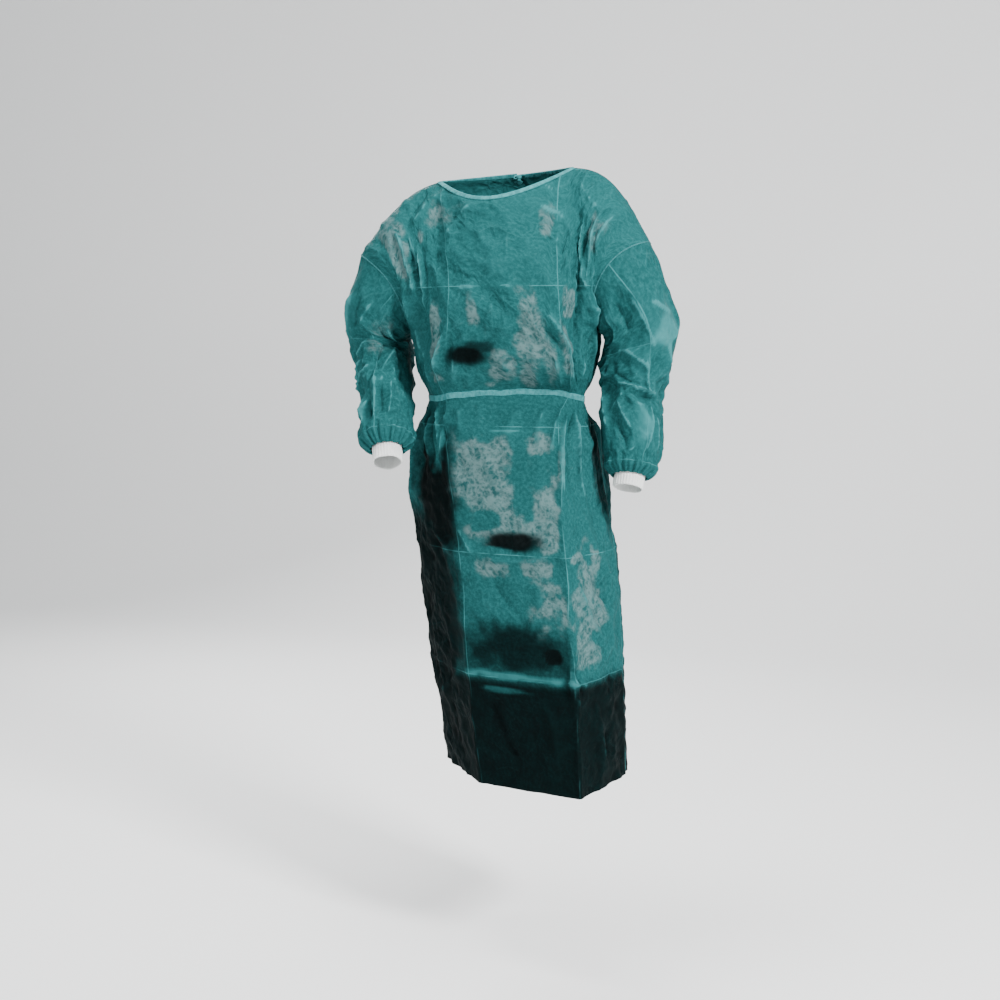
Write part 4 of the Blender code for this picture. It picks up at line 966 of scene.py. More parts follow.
def cloth_material(name):
    """Spunbonded cloth: cloudy teal with painted highlights along its packing creases and crests, a painted
    grey reflection where it clings and painted shade where the unlit inside shows through, with the bonded
    points and fine wrinkles as a bump."""
    material, tree, shader = principled(name)
    cut = uv_map(tree, "cut")
    cloth = nonwoven(tree, cut)
    tone = tree.nodes.new("ShaderNodeAttribute")
    tone.attribute_name = "tone"
    parts = add_node(tree, "ShaderNodeSeparateColor", Color=tone.outputs["Color"])
    dark, grey, pale = (parts.outputs[channel] for channel in ("Red", "Green", "Blue"))
    patchy = speckle(tree, cut, scale=38.0, detail=6.0, rough=0.68)
    ridges, facets = crumple_sockets(tree, cut, tone.outputs["Alpha"])
    crease = packing_lines(tree, cut, patchy)

    colour = blended(tree, times(tree, ramp(tree, cloth["Cloud"], 0.36, 0.70), 0.75), TEAL, TEAL_PALE)
    colour = blended(tree, times(tree, ramp(tree, cloth["Fleck"], 0.52, 0.70), 0.45), colour, TEAL_DEEP)
    # painted reflection: a grey mottle where the grey part of the tone is high, where the cloth clings
    cling = ramp(tree, plus(tree, times(tree, grey, 0.90), patchy), 0.56, 1.24)
    colour = blended(tree, times(tree, cling, 0.80), colour, cling_reflection(tree, cut, patchy))
    # painted highlight: paler where the pale part of the tone is high
    colour = blended(tree, times(tree, pale, 0.8), colour, TEAL_PALE)
    # painted shade: darkens towards the shade colour where the dark part of the tone is high
    ragged = plus(tree, dark, times(tree, minus(tree, patchy, 0.5), 0.22))
    shade = times(tree, ramp(tree, ragged, 0.02, 1.0), 0.97)
    colour = blended(tree, shade, colour, PAINTED_SHADE)
    # painted highlight: light teal along crests, packing creases and crumple lines, less in the painted
    # shade
    crest = times(tree, ramp(tree, pale, 0.60, 1.05), 0.80)
    creased = calc(tree, "MAXIMUM", calc(tree, "MAXIMUM", times(tree, ridges, 0.20), crease), crest)
    lit = times(tree, creased, minus(tree, 0.62, times(tree, shade, 0.56)))
    tree.links.new(blended(tree, lit, colour, TEAL_CREASE_HIGHLIGHT), shader.inputs["Base Color"])
    tree.links.new(plus(tree, 0.50, times(tree, cloth["Cloud"], 0.20)), shader.inputs["Roughness"])
    shader.inputs["Specular IOR Level"].default_value = 0.01

    crinkle = add_node(tree, "ShaderNodeTexNoise", Vector=cut, Scale=26.0, Detail=6.0, Roughness=0.6)
    crinkle.noise_type = "RIDGED_MULTIFRACTAL"
    normal = bumped(tree, (
        (times(tree, facets, -1.0), 0.9, 0.0120),
        (crinkle.outputs["Fac"], 0.45, 0.0030),
        (crease, 0.55, 0.0012),
        (cloth["Height"], 0.35, 0.0004),
    ))
    tree.links.new(normal, shader.inputs["Normal"])
    return material


CLOTH_MATERIAL = cloth_material("teal_nonwoven")


# Where painted shade darkens the cloth, in heights and places, and over how far it does so.
MIDDLE_DARK_TOP, MIDDLE_DARK_FADE, MIDDLE_DARK_END = -0.845, 0.075, 2.05
LOW_DARK_TOP, LOW_DARK_FADE = -0.965, 0.040
SIDE_DARK_END, SIDE_DARK_TOP, SIDE_DARK_FADE = 0.95, -0.60, 0.12
BACK_DARK_TOP, BACK_DARK_FADE = -0.62, 0.40
CHEST_PALE, CHEST_PALE_START, CHEST_PALE_FADE = 0.30, -0.30, 0.25
PATCH_SQUARE = 2.6
RAGGED_DARK, SOFT_DARK = 0.35, 0.85
RAGGED, SOFT = 0.9, 0.75
CLEARED = {"teal": 0.85, "grey": 0.7, "pale": 0.7}


def skirt_shade(place, height):
    """How much painted shade the skirt gets: low down all round, and higher up at the right side and behind.
    """
    middle = smooth_step((MIDDLE_DARK_TOP - height) / MIDDLE_DARK_FADE)
    middle *= smooth_step((MIDDLE_DARK_END - place) / 0.1)
    low = smooth_step((LOW_DARK_TOP - height) / LOW_DARK_FADE)
    side = smooth_step((SIDE_DARK_TOP - height) / SIDE_DARK_FADE)
    side *= smooth_step((SIDE_DARK_END - place) / 0.2)
    front = np.maximum(np.maximum(0.62 * middle, 0.90 * low), 0.90 * side)
    behind = smooth_step((place - 3) / 0.3)
    return front * (1 - behind) + behind * 0.85 * smooth_step((BACK_DARK_TOP - height) / BACK_DARK_FADE)


def body_tone(place, height):
    """Colour parts of the body: dark, grey and pale, that is painted shade, a painted reflection and painted
    highlights, as patches with uneven borders laid in turn over the shaded skirt, with the chest paler
    towards the top. Each later patch clears some of the dark under it, and a teal one also the grey."""
    u, v = place * STRIP, height
    wobble = 0.9 * (soft_noise(u, v, 0.040, 31) - 0.5) + 0.6 * (soft_noise(u, v, 0.015, 37) - 0.5)
    tone = {"dark": skirt_shade(place, height), "grey": np.zeros_like(place), "pale": np.zeros_like(place)}
    for patch in BODY_PATCHES:
        across = np.abs((place - patch.place) / patch.half_place)
        upward = np.abs((height - patch.height) / patch.half_height)
        ragged, soft = (RAGGED_DARK, SOFT_DARK) if patch.kind == "dark" else (RAGGED, SOFT)
        far = (across**PATCH_SQUARE + upward**PATCH_SQUARE) ** (1 / PATCH_SQUARE)
        spot = patch.amount * smooth_step((1.30 - far + ragged * wobble) / soft)
        tone["dark"] = tone["dark"] * (1 - CLEARED.get(patch.kind, 0) * spot)
        if patch.kind == "teal":
            tone["grey"] = tone["grey"] * (1 - spot)
        else:
            tone[patch.kind] = np.maximum(tone[patch.kind], spot)
    chest = CHEST_PALE * smooth_step((height - CHEST_PALE_START) / CHEST_PALE_FADE)
    pale = np.maximum(tone["pale"], chest * soft_noise(u, v, 0.08, 41))
    return np.stack([tone["dark"], tone["grey"], pale, crumpled(place, height)], axis=-1)


def body_surface(place, level, forward):
    """The finished outer surface of the body, and its outward directions."""
    base = gown_points(place, level, forward)
    normals = grid_normals(base)
    lift, laid = body_relief(place, level, base[..., 2])
    return base + lift[..., None] * normals, normals, laid


PANEL_CUTS = {
    "front": (0.70, 1.20, 0.76),
    "back_left": (0.35, 1.20, 0.42),
    "back_right": (0.35, 1.20, 0.42),
}
ROWS_BELOW_ARMPIT = 0.72
FREE_EDGE_STRIPS, FREE_EDGE_TOP = 0.30, 1.9


def panel_grid(name, columns, rows):
    """Place and level of each grid point of a panel. The backs reach half a strip past the middle up to
    the armpits, and only just meet at the neck."""
    low = int(rows * ROWS_BELOW_ARMPIT)
    level = np.concatenate([np.linspace(0, 1, low), np.linspace(1, 2, rows - low + 1)[1:]])[:, None]
    share = np.linspace(0, 1, columns)
    reach = 2 - (1 - NECK_REACH) * np.clip(level - 1, 0, 1)
    starts = {"front": 0.0, "back_left": 3.0, "back_right": 6 - reach}
    place = starts[name] + share * (3 if name == "front" else reach)
    return np.broadcast_arrays(place, level)


def free_edge(place, level, height):
    """How far the edge of the back on top stands off in slow waves, but where the belt presses it down."""
    free = smooth_step((place - place[:, -1:]) / FREE_EDGE_STRIPS + 1)
    free = free * smooth_step((FREE_EDGE_TOP - level) / 0.3)
    waves = 0.0022 + 0.0016 * np.sin(level * 21) + 0.0012 * np.sin(level * 47 + 1)
    pressed = 1 - np.exp(-(((height - BELT_HEIGHT) / 0.03) ** 2))
    return free * waves * pressed


def underlap(place, level):
    """How far the back below is drawn in under the one on top."""
    share = np.clip(level - 1, 0, 1)
    strips = UNDERLAP_STRIPS + (UNDERLAP_STRIPS_NECK - UNDERLAP_STRIPS) * share
    return UNDERLAP_STEP * smooth_step((6 - share - place) / strips)


def running_length(points):
    """The length walked up each column of a grid of points."""
    steps = np.linalg.norm(np.diff(points, axis=0), axis=-1)
    return np.concatenate([np.zeros((1, points.shape[1])), np.cumsum(steps, axis=0)])


panel_edges = {}
for panel, (width, length, area) in PANEL_CUTS.items():
    place, level = panel_grid(panel, *(FRONT_GRID if panel == "front" else BACK_GRID))
    outer, normals, laid = body_surface(place, level, -1 if panel == "front" else 1)
    if panel == "back_right":
        outer = outer - underlap(place, level)[..., None] * normals
    if panel == "back_left":
        outer = outer + free_edge(place, level, outer[..., 2])[..., None] * normals
    panel_edges[panel] = (outer, normals, place, level)
    height = outer[..., 2]
    maps = {
        "cut": np.stack([place * STRIP, running_length(outer)], axis=-1),
        "folds": np.stack([packing_place(place, height), packing_height(height)], axis=-1),
    }
    tone = painted_crease_light(body_tone(place, height), laid, 3 * STRIP / FRONT_GRID[0])
    inner = outer - CLOTH * normals
    piece = shell_object(panel + "_cloth", outer, inner, False, maps, tone, CLOTH_MATERIAL)
    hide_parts(panel)


# Sleeves
# Long sleeves of the same cloth, set in at the dropped shoulder and gathered into the cuffs; their one seam
# under the arm is not drawn. They are crumpled all over, most at the elbows.

SLEEVE_GRID = (224, 150)
SLEEVE_ROUND = 0.070
SLEEVE_CREASE_RISE = 1.7
GATHERS = 15
ARMHOLE_STILL = 0.8
GATHERS_START, GATHERS_FADE = 6.5, 1.5
SleeveSection = namedtuple("SleeveSection", "x y z across deep lean ruffle")
SLEEVE_SECTIONS = {
    "left": (
        SleeveSection(0.2680, 0.006, -0.275, 0.080, 0.084, 42.0, 0.0),
        SleeveSection(0.2770, 0.014, -0.330, 0.080, 0.079, 20.0, 0.0),
        SleeveSection(0.2700, 0.012, -0.392, 0.070, 0.074, 8.0, 0.0),
        SleeveSection(0.2630, 0.004, -0.445, 0.058, 0.068, 0.0, 0.0),
        SleeveSection(0.2690, -0.018, -0.500, 0.061, 0.068, 0.0, 0.0),
        SleeveSection(0.2750, -0.040, -0.548, 0.057, 0.061, 0.0, 0.0006),
        SleeveSection(0.2765, -0.049, -0.568, 0.050, 0.052, 0.0, 0.0018),
        SleeveSection(0.2770, -0.053, -0.580, 0.050, 0.051, 0.0, 0.0034),
        SleeveSection(0.2768, -0.057, -0.590, 0.041, 0.042, 0.0, 0.0042),
        SleeveSection(0.2762, -0.060, -0.597, 0.0312, 0.0312, 0.0, 0.0042),
    ),
    "right": (
        SleeveSection(-0.2640, 0.006, -0.282, 0.075, 0.084, 40.0, 0.0),
        SleeveSection(-0.2720, 0.012, -0.332, 0.067, 0.076, 14.0, 0.0),
        SleeveSection(-0.2540, -0.008, -0.385, 0.055, 0.070, -6.0, 0.0),
        SleeveSection(-0.2330, -0.048, -0.435, 0.051, 0.064, -18.0, 0.0),
        SleeveSection(-0.2170, -0.084, -0.480, 0.051, 0.060, -20.0, 0.0),
        SleeveSection(-0.2100, -0.108, -0.512, 0.052, 0.055, -18.0, 0.0008),
        SleeveSection(-0.2065, -0.117, -0.524, 0.056, 0.057, -16.0, 0.0024),
        SleeveSection(-0.2045, -0.123, -0.533, 0.052, 0.053, -16.0, 0.0036),
        SleeveSection(-0.2020, -0.129, -0.542, 0.042, 0.043, -16.0, 0.0042),
        SleeveSection(-0.2000, -0.133, -0.549, 0.0312, 0.0312, -16.0, 0.0042),
    ),
}

# The large folds of the solids. along counts the sections down from 0 at the armhole, turn is in degrees
# from the inner side through the front, slant is degrees for each section.
SleeveFold = namedtuple("SleeveFold", "along turn length width depth slant")
SLEEVE_FOLDS = {
    "left": (
        SleeveFold(1.4, 118, 1.2, 20, 0.007, 12),
        SleeveFold(2.5, 70, 1.0, 22, -0.006, -20),
        SleeveFold(3.6, 150, 0.8, 22, 0.006, 10),
        SleeveFold(4.7, 100, 1.1, 18, 0.007, -6),
        SleeveFold(4.6, 60, 0.9, 18, -0.006, 8),
        SleeveFold(2.0, 250, 1.6, 24, 0.008, 10),
        SleeveFold(4.2, 290, 1.2, 22, -0.007, -8),
    ),
    "right": (
        SleeveFold(1.3, 95, 1.1, 20, 0.007, -14),
        SleeveFold(2.6, 110, 0.8, 22, -0.007, 16),
        SleeveFold(2.9, 165, 0.6, 18, 0.006, -10),
        SleeveFold(3.6, 150, 0.6, 18, -0.006, 10),
        SleeveFold(4.5, 85, 1.2, 18, 0.007, 4),
        SleeveFold(2.2, 260, 1.6, 24, 0.008, -10),
        SleeveFold(4.2, 300, 1.2, 22, -0.007, 8),
    ),
}

# Creases listed one by one, at turns in degrees and places along; bow, width and depth are in metres.
SleeveCrease = namedtuple("SleeveCrease", "turn along to_turn to_along bow width depth")
SLEEVE_CREASES = {
    "left": (
        SleeveCrease(117, 2.5, 141, 4.3, 0.004, 0.007, 0.0060),
        SleeveCrease(141, 4.2, 129, 7.2, -0.004, 0.007, 0.0062),
        SleeveCrease(51, 7.8, 117, 6.0, 0.006, 0.007, 0.0046),
        SleeveCrease(66, 2.1, 132, 3.4, -0.006, 0.008, 0.0044),
        SleeveCrease(60, 2.9, 120, 3.9, 0.006, 0.007, -0.0046),
        SleeveCrease(70, 3.6, 150, 4.0, 0.004, 0.006, 0.0050),
        SleeveCrease(90, 4.1, 170, 4.2, 0.003, 0.006, -0.0052),
        SleeveCrease(120, 1.0, 165, 1.7, 0.004, 0.008, 0.0050),
        SleeveCrease(100, 0.5, 128, 2.6, 0.004, 0.007, 0.0044),
        SleeveCrease(80, 0.4, 84, 1.7, 0.003, 0.007, -0.0044),
        SleeveCrease(60, 0.4, 60, 1.9, 0.003, 0.007, 0.0040),
        SleeveCrease(35, 0.6, 45, 2.2, 0.003, 0.007, -0.0040),
        SleeveCrease(160, 2.2, 190, 3.3, 0.005, 0.008, -0.0046),
        SleeveCrease(150, 2.4, 176, 3.0, 0.005, 0.008, 0.0040),
        SleeveCrease(70, 4.6, 96, 7.0, 0.004, 0.007, -0.0044),
        SleeveCrease(82, 4.4, 104, 5.6, 0.004, 0.006, 0.0040),
        SleeveCrease(40, 4.0, 58, 5.6, 0.004, 0.007, 0.0040),
        SleeveCrease(150, 4.6, 160, 7.0, 0.004, 0.008, 0.0040),
        SleeveCrease(176, 4.4, 182, 6.4, 0.004, 0.007, -0.0042),
        SleeveCrease(20, 2.4, 60, 3.4, 0.005, 0.007, 0.0036),
        SleeveCrease(220, 0.8, 250, 3.0, 0.006, 0.009, 0.0050),
        SleeveCrease(250, 1.0, 290, 2.8, 0.006, 0.009, -0.0044),
        SleeveCrease(210, 3.4, 300, 4.2, 0.008, 0.008, 0.0050),
        SleeveCrease(220, 4.0, 310, 4.4, 0.006, 0.007, -0.0046),
        SleeveCrease(240, 4.6, 236, 7.2, 0.005, 0.008, 0.0048),
        SleeveCrease(290, 4.8, 300, 7.0, 0.005, 0.008, -0.0040),
        SleeveCrease(320, 1.4, 345, 3.4, 0.005, 0.008, 0.0040),
    ),
    "right": (
        SleeveCrease(57, 0.6, 0, 2.4, 0.006, 0.007, 0.0056),
        SleeveCrease(70, 0.7, 20, 2.7, 0.006, 0.007, -0.0044),
        SleeveCrease(81, 3.8, 90, 8.2, 0.003, 0.006, 0.0066),
        SleeveCrease(94, 3.9, 104, 7.4, 0.003, 0.006, -0.0050),
        SleeveCrease(95, 7.8, 6, 7.0, 0.004, 0.006, 0.0036),
        SleeveCrease(120, 3.2, 182, 3.4, 0.004, 0.006, 0.0060),
        SleeveCrease(110, 3.6, 180, 3.7, 0.004, 0.006, -0.0056),
        SleeveCrease(80, 3.5, 170, 4.1, 0.006, 0.006, 0.0050),
        SleeveCrease(130, 2.6, 176, 3.1, 0.004, 0.006, -0.0046),
        SleeveCrease(90, 2.3, 150, 3.0, 0.006, 0.008, 0.0050),
        SleeveCrease(130, 0.5, 150, 2.4, 0.005, 0.008, 0.0048),
        SleeveCrease(110, 0.5, 118, 1.9, 0.004, 0.007, -0.0044),
        SleeveCrease(92, 0.4, 96, 1.8, 0.003, 0.007, 0.0040),
        SleeveCrease(160, 1.0, 168, 2.6, 0.004, 0.008, -0.0044),
        SleeveCrease(56, 2.2, 84, 3.6, 0.005, 0.007, -0.0044),
        SleeveCrease(40, 2.5, 70, 4.0, 0.005, 0.007, 0.0044),
        SleeveCrease(50, 4.2, 60, 6.6, 0.004, 0.007, 0.0040),
        SleeveCrease(68, 4.4, 74, 6.4, 0.003, 0.006, -0.0036),
        SleeveCrease(125, 4.4, 120, 7.2, 0.004, 0.007, 0.0046),
        SleeveCrease(150, 4.3, 150, 6.8, 0.004, 0.008, -0.0046),
        SleeveCrease(100, 5.0, 140, 5.6, 0.004, 0.006, 0.0036),
        SleeveCrease(220, 0.8, 250, 3.0, 0.006, 0.009, 0.0050),
        SleeveCrease(250, 1.2, 290, 2.9, 0.006, 0.009, -0.0044),
        SleeveCrease(205, 3.2, 300, 3.9, 0.008, 0.008, 0.0050),
        SleeveCrease(215, 3.8, 310, 4.2, 0.006, 0.007, -0.0046),
        SleeveCrease(236, 4.4, 244, 7.2, 0.005, 0.008, 0.0048),
        SleeveCrease(290, 4.6, 296, 7.0, 0.005, 0.008, -0.0040),
        SleeveCrease(320, 1.4, 340, 3.4, 0.005, 0.008, 0.0040),
    ),
}
# Patches of painted light and shade on the sleeves: dark is painted shade, grey a painted reflection and
# pale a painted highlight.
SleevePatch = namedtuple("SleevePatch", "kind turn along half_turn half_along amount")
SLEEVE_PATCHES = {
    "left": (
        SleevePatch("pale", 145, 2.1, 26, 0.7, 0.9),
        SleevePatch("grey", 150, 2.0, 20, 0.6, 0.4),
        SleevePatch("pale", 124, 5.4, 12, 1.6, 0.7),
        SleevePatch("dark", 60, 3.2, 26, 0.5, 0.22),
        SleevePatch("dark", 92, 4.6, 16, 0.8, 0.22),
        SleevePatch("dark", 40, 6.4, 24, 0.9, 0.20),
        SleevePatch("grey", 240, 2.4, 40, 1.2, 0.4),
    ),
    "right": (
        SleevePatch("grey", 60, 1.2, 18, 0.8, 0.5),
        SleevePatch("grey", 84, 2.8, 20, 0.5, 0.5),
        SleevePatch("pale", 140, 1.4, 20, 0.9, 0.6),
        SleevePatch("dark", 112, 3.7, 16, 0.5, 0.35),
        SleevePatch("dark", 60, 5.4, 30, 1.0, 0.18),
        SleevePatch("pale", 118, 5.6, 14, 1.6, 0.5),
        SleevePatch("grey", 240, 2.4, 40, 1.2, 0.4),
    ),
}

# How far down a sleeve each section stands, for a cut measured in metres.
ALONG_METRES = (0.0, 0.062, 0.118, 0.180, 0.234, 0.290, 0.340, 0.360, 0.374, 0.386, 0.400)
SLEEVE_ROWS_UPPER = 0.7
SLEEVE_CRUMPLES = {
    "left": (Crumple(0.0105, 0.066, 0.0, 0.9, 50), Crumple(0.0046, 0.030, 0.0, 1.0, 55)),
    "right": (Crumple(0.0105, 0.066, 0.0, 0.9, 70), Crumple(0.0046, 0.030, 0.0, 1.0, 75)),
}
PLEAT_SEEDS = {"left": 59, "right": 79}
PLEATS, PLEAT_RISE, PLEAT_WANDER = 13, 0.0030, 22
ELBOW_ALONG, ELBOW_REACH = 3.7, 1.3

# The packing crease that runs down each sleeve: its turn in degrees at these places along.
LINE_ALONG = (0, 4, 8, 10)
LINE_TURN = {"left": (100, 132, 128, 128), "right": (76, 81, 90, 90)}
LINE_SHIFT = 0.42


def sleeve_base(side, along, turns):
    """The outer surface of the solid: ellipses of the sections, a smooth curve through them from the
    armhole to the wrist, the gathers near the wrist and the large folds."""
    outward = 1.0 if side == "left" else -1.0
    sections = SLEEVE_SECTIONS[side]
    centres = np.array([(s.x, s.y, s.z) for s in sections])
    rings = [armhole(turns, side)]
    for section, centre, heading in zip(sections, centres, np.gradient(centres, axis=0)):
        lean = math.radians(section.lean)
        out = np.array([outward * math.cos(lean), 0.0, math.sin(lean)])
        fore = unit(outward * np.cross(heading, out))
        ruffle = section.ruffle * (0.5 + 0.5 * np.cos(GATHERS * turns))
        across = -np.cos(turns) * (section.across + ruffle)
        deep = np.sin(turns) * (section.deep + ruffle)
        rings.append(centre + across[:, None] * out + deep[:, None] * fore)
    points = smooth_through(along, np.arange(len(rings)), np.stack(rings))
    away = unit(points - points.mean(axis=1, keepdims=True))
    at = along[:, None]
    still_ends = smooth_step(at / ARMHOLE_STILL) * smooth_step((GATHERS_START - at) / GATHERS_FADE)
    for fold in SLEEVE_FOLDS[side]:
        centre = fold.turn + fold.slant * (at - fold.along)
        across = np.exp(-((((np.degrees(turns) - centre + 180) % 360 - 180) / fold.width) ** 2))
        run = np.exp(-(((at - fold.along) / fold.length) ** 2)) * still_ends
        points = points + (fold.depth * across * run)[..., None] * away
    return points


def metres_down(along):
    """The distance from the armhole to a place counted in sections."""
    return np.interp(along, np.arange(len(ALONG_METRES)), ALONG_METRES)


def sleeve_relief(side, turn, along):
    """Laid creases, fine crumples that are strongest at the elbow, and small pleats over the cuff. The
    second height returned counts the pleats twice, for the light on them."""
    per_degree = math.radians(1) * SLEEVE_ROUND
    u, v = turn * per_degree, -metres_down(along)
    creases = [crease._replace(along=-metres_down(crease.along), to_along=-metres_down(crease.to_along))
               for crease in SLEEVE_CREASES[side]]
    lift = sum(crease_lift(u + turns * 360 * per_degree, v, creases, per_degree) for turns in (-1, 0, 1))
    elbow = 0.7 + 0.6 * np.exp(-(((along - ELBOW_ALONG) / ELBOW_REACH) ** 2))
    lift = SLEEVE_CREASE_RISE * lift + elbow * crumples(u, v, SLEEVE_CRUMPLES[side])
    lift *= smooth_step(np.minimum(turn, 360 - turn) / 25)
    lift *= smooth_step((7.6 - along) / 1.8) * smooth_step(along / 0.5)
    wander = PLEAT_WANDER * soft_noise(u, v * 0.5, 0.03, PLEAT_SEEDS[side])
    pleats = PLEAT_RISE * (np.abs(np.sin(np.radians(turn * PLEATS + wander))) - 0.6)
    pleats *= smooth_step((along - 6.4) / 2.2) * smooth_step((10.2 - along) / 0.7)
    return lift + pleats, lift + 2 * pleats


def sleeve_tone(side, turn, along):
    """Colour parts of a sleeve: painted shade, a painted reflection and painted highlights as dark, grey and
    pale patches with uneven borders, crumpled all over.
    """
    tone = {kind: np.zeros_like(turn) for kind in ("dark", "grey", "pale")}
    wobble = 0.9 * (soft_noise(np.radians(turn) * SLEEVE_ROUND, metres_down(along), 0.03, 91) - 0.5)
    for patch in SLEEVE_PATCHES[side]:
        far = np.hypot((turn - patch.turn) / patch.half_turn, (along - patch.along) / patch.half_along)
        spot = patch.amount * smooth_step((1.4 - far + wobble) / 1.1)
        tone[patch.kind] = np.maximum(tone[patch.kind], spot)
    return np.stack([tone["dark"], tone["grey"], tone["pale"], np.ones_like(turn)], axis=-1)


for side in ("left", "right"):
    columns, rows = SLEEVE_GRID
    upper = int(rows * SLEEVE_ROWS_UPPER)
    along = np.concatenate([np.linspace(0, 6, upper), np.linspace(6, 10, rows - upper + 1)[1:]])
    turns = np.linspace(0, 2 * math.pi, columns + 1)
    base = sleeve_base(side, along, turns)
    normals = grid_normals(base)
    normals[:, 0] = normals[:, -1] = unit(normals[:, 0] + normals[:, -1])
    normals *= np.sign((normals * (base - base[:, :-1].mean(axis=1, keepdims=True))).sum())
    turn, down = np.broadcast_arrays(np.degrees(turns), along[:, None])
    lift, laid = sleeve_relief(side, turn, down)
    outer = base + lift[..., None] * normals
    metres = metres_down(down)
    line_turn = np.interp(along, LINE_ALONG, LINE_TURN[side])[:, None]
    maps = {
        "cut": np.stack([np.radians(turn) * SLEEVE_ROUND, 2.0 - metres], axis=-1),
        "folds": np.stack([(turn - line_turn) / 180, metres / STRIP + LINE_SHIFT], axis=-1),
    }
    tone = painted_crease_light(sleeve_tone(side, turn, down), laid, 2 * math.pi * SLEEVE_ROUND / columns)
    sleeve = shell_object("sleeve_" + side + "_cloth", outer[:, :-1], (outer - CLOTH * normals)[:, :-1],
                          True, maps, tone[:, :-1], CLOTH_MATERIAL)
    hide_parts("sleeve_" + side)


# Cuffs
# Tubes of white ribbed knit that narrow the sleeves at the wrists. Each is doubled over, with the fold at
# its open end, and overlocked into the gathers.

CUFF_RADIUS = 0.0287
CUFF_RIBS = 30
CUFF_RIB = 0.0011
CUFF_TUCK = 0.014
KNIT_WALL = 0.0019
CUFF_SHOWN = {"left": 0.023, "right": 0.030}
KNIT_WHITE = (0.90, 0.91, 0.895, 1.0)
KNIT_SHADE = (0.50, 0.55, 0.54, 1.0)
STITCH_WIDE, STITCH_TALL = 0.0015, 0.0013
CUFF_HEM = 0.0022
CUFF_GRID = (CUFF_RIBS * 10, 34)


def knit_material():
    """White rib knit: V-shaped stitches along each rib as bump and as painted shade between them, with fine
    fluff.
    """
    material, tree, shader = principled("white_rib_knit")
    cut = uv_map(tree, "cut")
    axes = add_node(tree, "ShaderNodeSeparateXYZ", Vector=cut)
    across = calc(tree, "FRACT", times(tree, axes.outputs["X"], 1 / STITCH_WIDE))
    slope = calc(tree, "ABSOLUTE", minus(tree, across, 0.5))
    row = plus(tree, times(tree, axes.outputs["Y"], 1 / STITCH_TALL), times(tree, slope, 1.3))
    loop = calc(tree, "SINE", times(tree, row, 2 * math.pi))
    between = calc(tree, "SINE", times(tree, across, math.pi))
    stitch = times(tree, plus(tree, times(tree, loop, 0.5), 0.5), between)
    fluff = speckle(tree, cut, scale=900.0, detail=4.0, rough=0.7)
    colour = blended(tree, times(tree, ramp(tree, stitch, 0.45, 0.0), 0.45), KNIT_WHITE, KNIT_SHADE)
    tree.links.new(colour, shader.inputs["Base Color"])
    tree.links.new(plus(tree, 0.82, times(tree, fluff, 0.12)), shader.inputs["Roughness"])
    normal = bumped(tree, ((plus(tree, stitch, times(tree, fluff, 0.35)), 0.6, 0.0006),))
    tree.links.new(normal, shader.inputs["Normal"])
    shader.inputs["Sheen Weight"].default_value = 0.2
    return material


KNIT_MATERIAL = knit_material()

for side in ("left", "right"):
    columns, rows = CUFF_GRID
    ends = sleeve_base(side, np.array([8.0, 9.0, 10.0]), np.linspace(0, 2 * math.pi, 33)[:-1])
    centres = ends.mean(axis=1)
    heading = unit(centres[2] - centres[0])
    across = ends[2][0] - centres[2]
    across = unit(across - heading * across.dot(heading))
    turns = np.linspace(0, 2 * math.pi, columns + 1)
    ring = np.cos(turns)[:, None] * across + np.sin(turns)[:, None] * np.cross(across, heading)
    shown = CUFF_SHOWN[side]
    station = np.linspace(shown, -CUFF_TUCK, rows)[:, None]
    rib = CUFF_RIB * np.abs(np.cos(turns * CUFF_RIBS / 2)) ** 0.8
    rolled = 1 - smooth_step((shown - station) / CUFF_HEM)
    uneven = 0.0007 * np.sin(3 * turns + 60 * station) + 0.0005 * np.sin(5 * turns - 40 * station)
    radius = CUFF_RADIUS + uneven * smooth_step(station / 0.01)
    outer_radius = radius - 0.0010 * rolled + rib * (1 - 0.65 * rolled)
    inner_radius = radius - KNIT_WALL + 0.0006 * rolled - 0.4 * rib
    outer, inner = (centres[2] + heading * station[..., None] + ring * wall[..., None]
                    for wall in (outer_radius, inner_radius))
    around, run = np.broadcast_arrays(turns * CUFF_RADIUS, station)
    cuff = shell_object("cuff_" + side + "_knit", outer[:, :-1], inner[:, :-1], True,
                        {"cut": np.stack([around, run], axis=-1)}, None, KNIT_MATERIAL)
    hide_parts("cuff_" + side)


# Neck binding, belt and ties
# Narrow tape of the same cloth, folded lengthwise and paler for its layers: bound over the neck edge with
# its ends left long as the neck tie, and laid round the waist as the belt. Both are tied at the back.

BINDING_WIDTH = 0.0094
BINDING_OVERLAP = 0.0020
BINDING_PROUD = 0.0008
PANEL_WALL = 0.0015
BELT_WIDTH = 0.0120
TAPE = 0.0011
LYING_GAP = 0.0004
TIE_WIDTH = 0.010
TIE_APART = 0.0056
NECK_KNOT_SIZE = (0.020, 0.009, 0.014)
BELT_KNOT_SIZE = (0.024, 0.011, 0.018)
TAIL_LIFT = 0.0032
TAIL_SETTLE = 0.25
NECK_TIE_LEVEL = 1.975
YOKE_STRETCH = 2.7
KNOT_TAPE_WIDTH, KNOT_TAPE_DEPTH = 0.0062, 0.0020
KNOT_GAP = 0.00015
TIE_TAPE = 0.0009
TAPE_TEAL = (0.030, 0.180, 0.190, 1.0)
TAPE_PALE = (0.060, 0.260, 0.275, 1.0)
SEAM_TEAL = (0.016, 0.100, 0.104, 1.0)
SEAM_PALE = (0.034, 0.160, 0.168, 1.0)
SEAM_WIDTH = 0.0026
SEAM_DEPTH = 0.0013
TAPE_SIDES = 20
TAPE_SQUARE = 0.55
TAPE_UNEVEN = 0.10
TAPE_PUCKER = 0.14
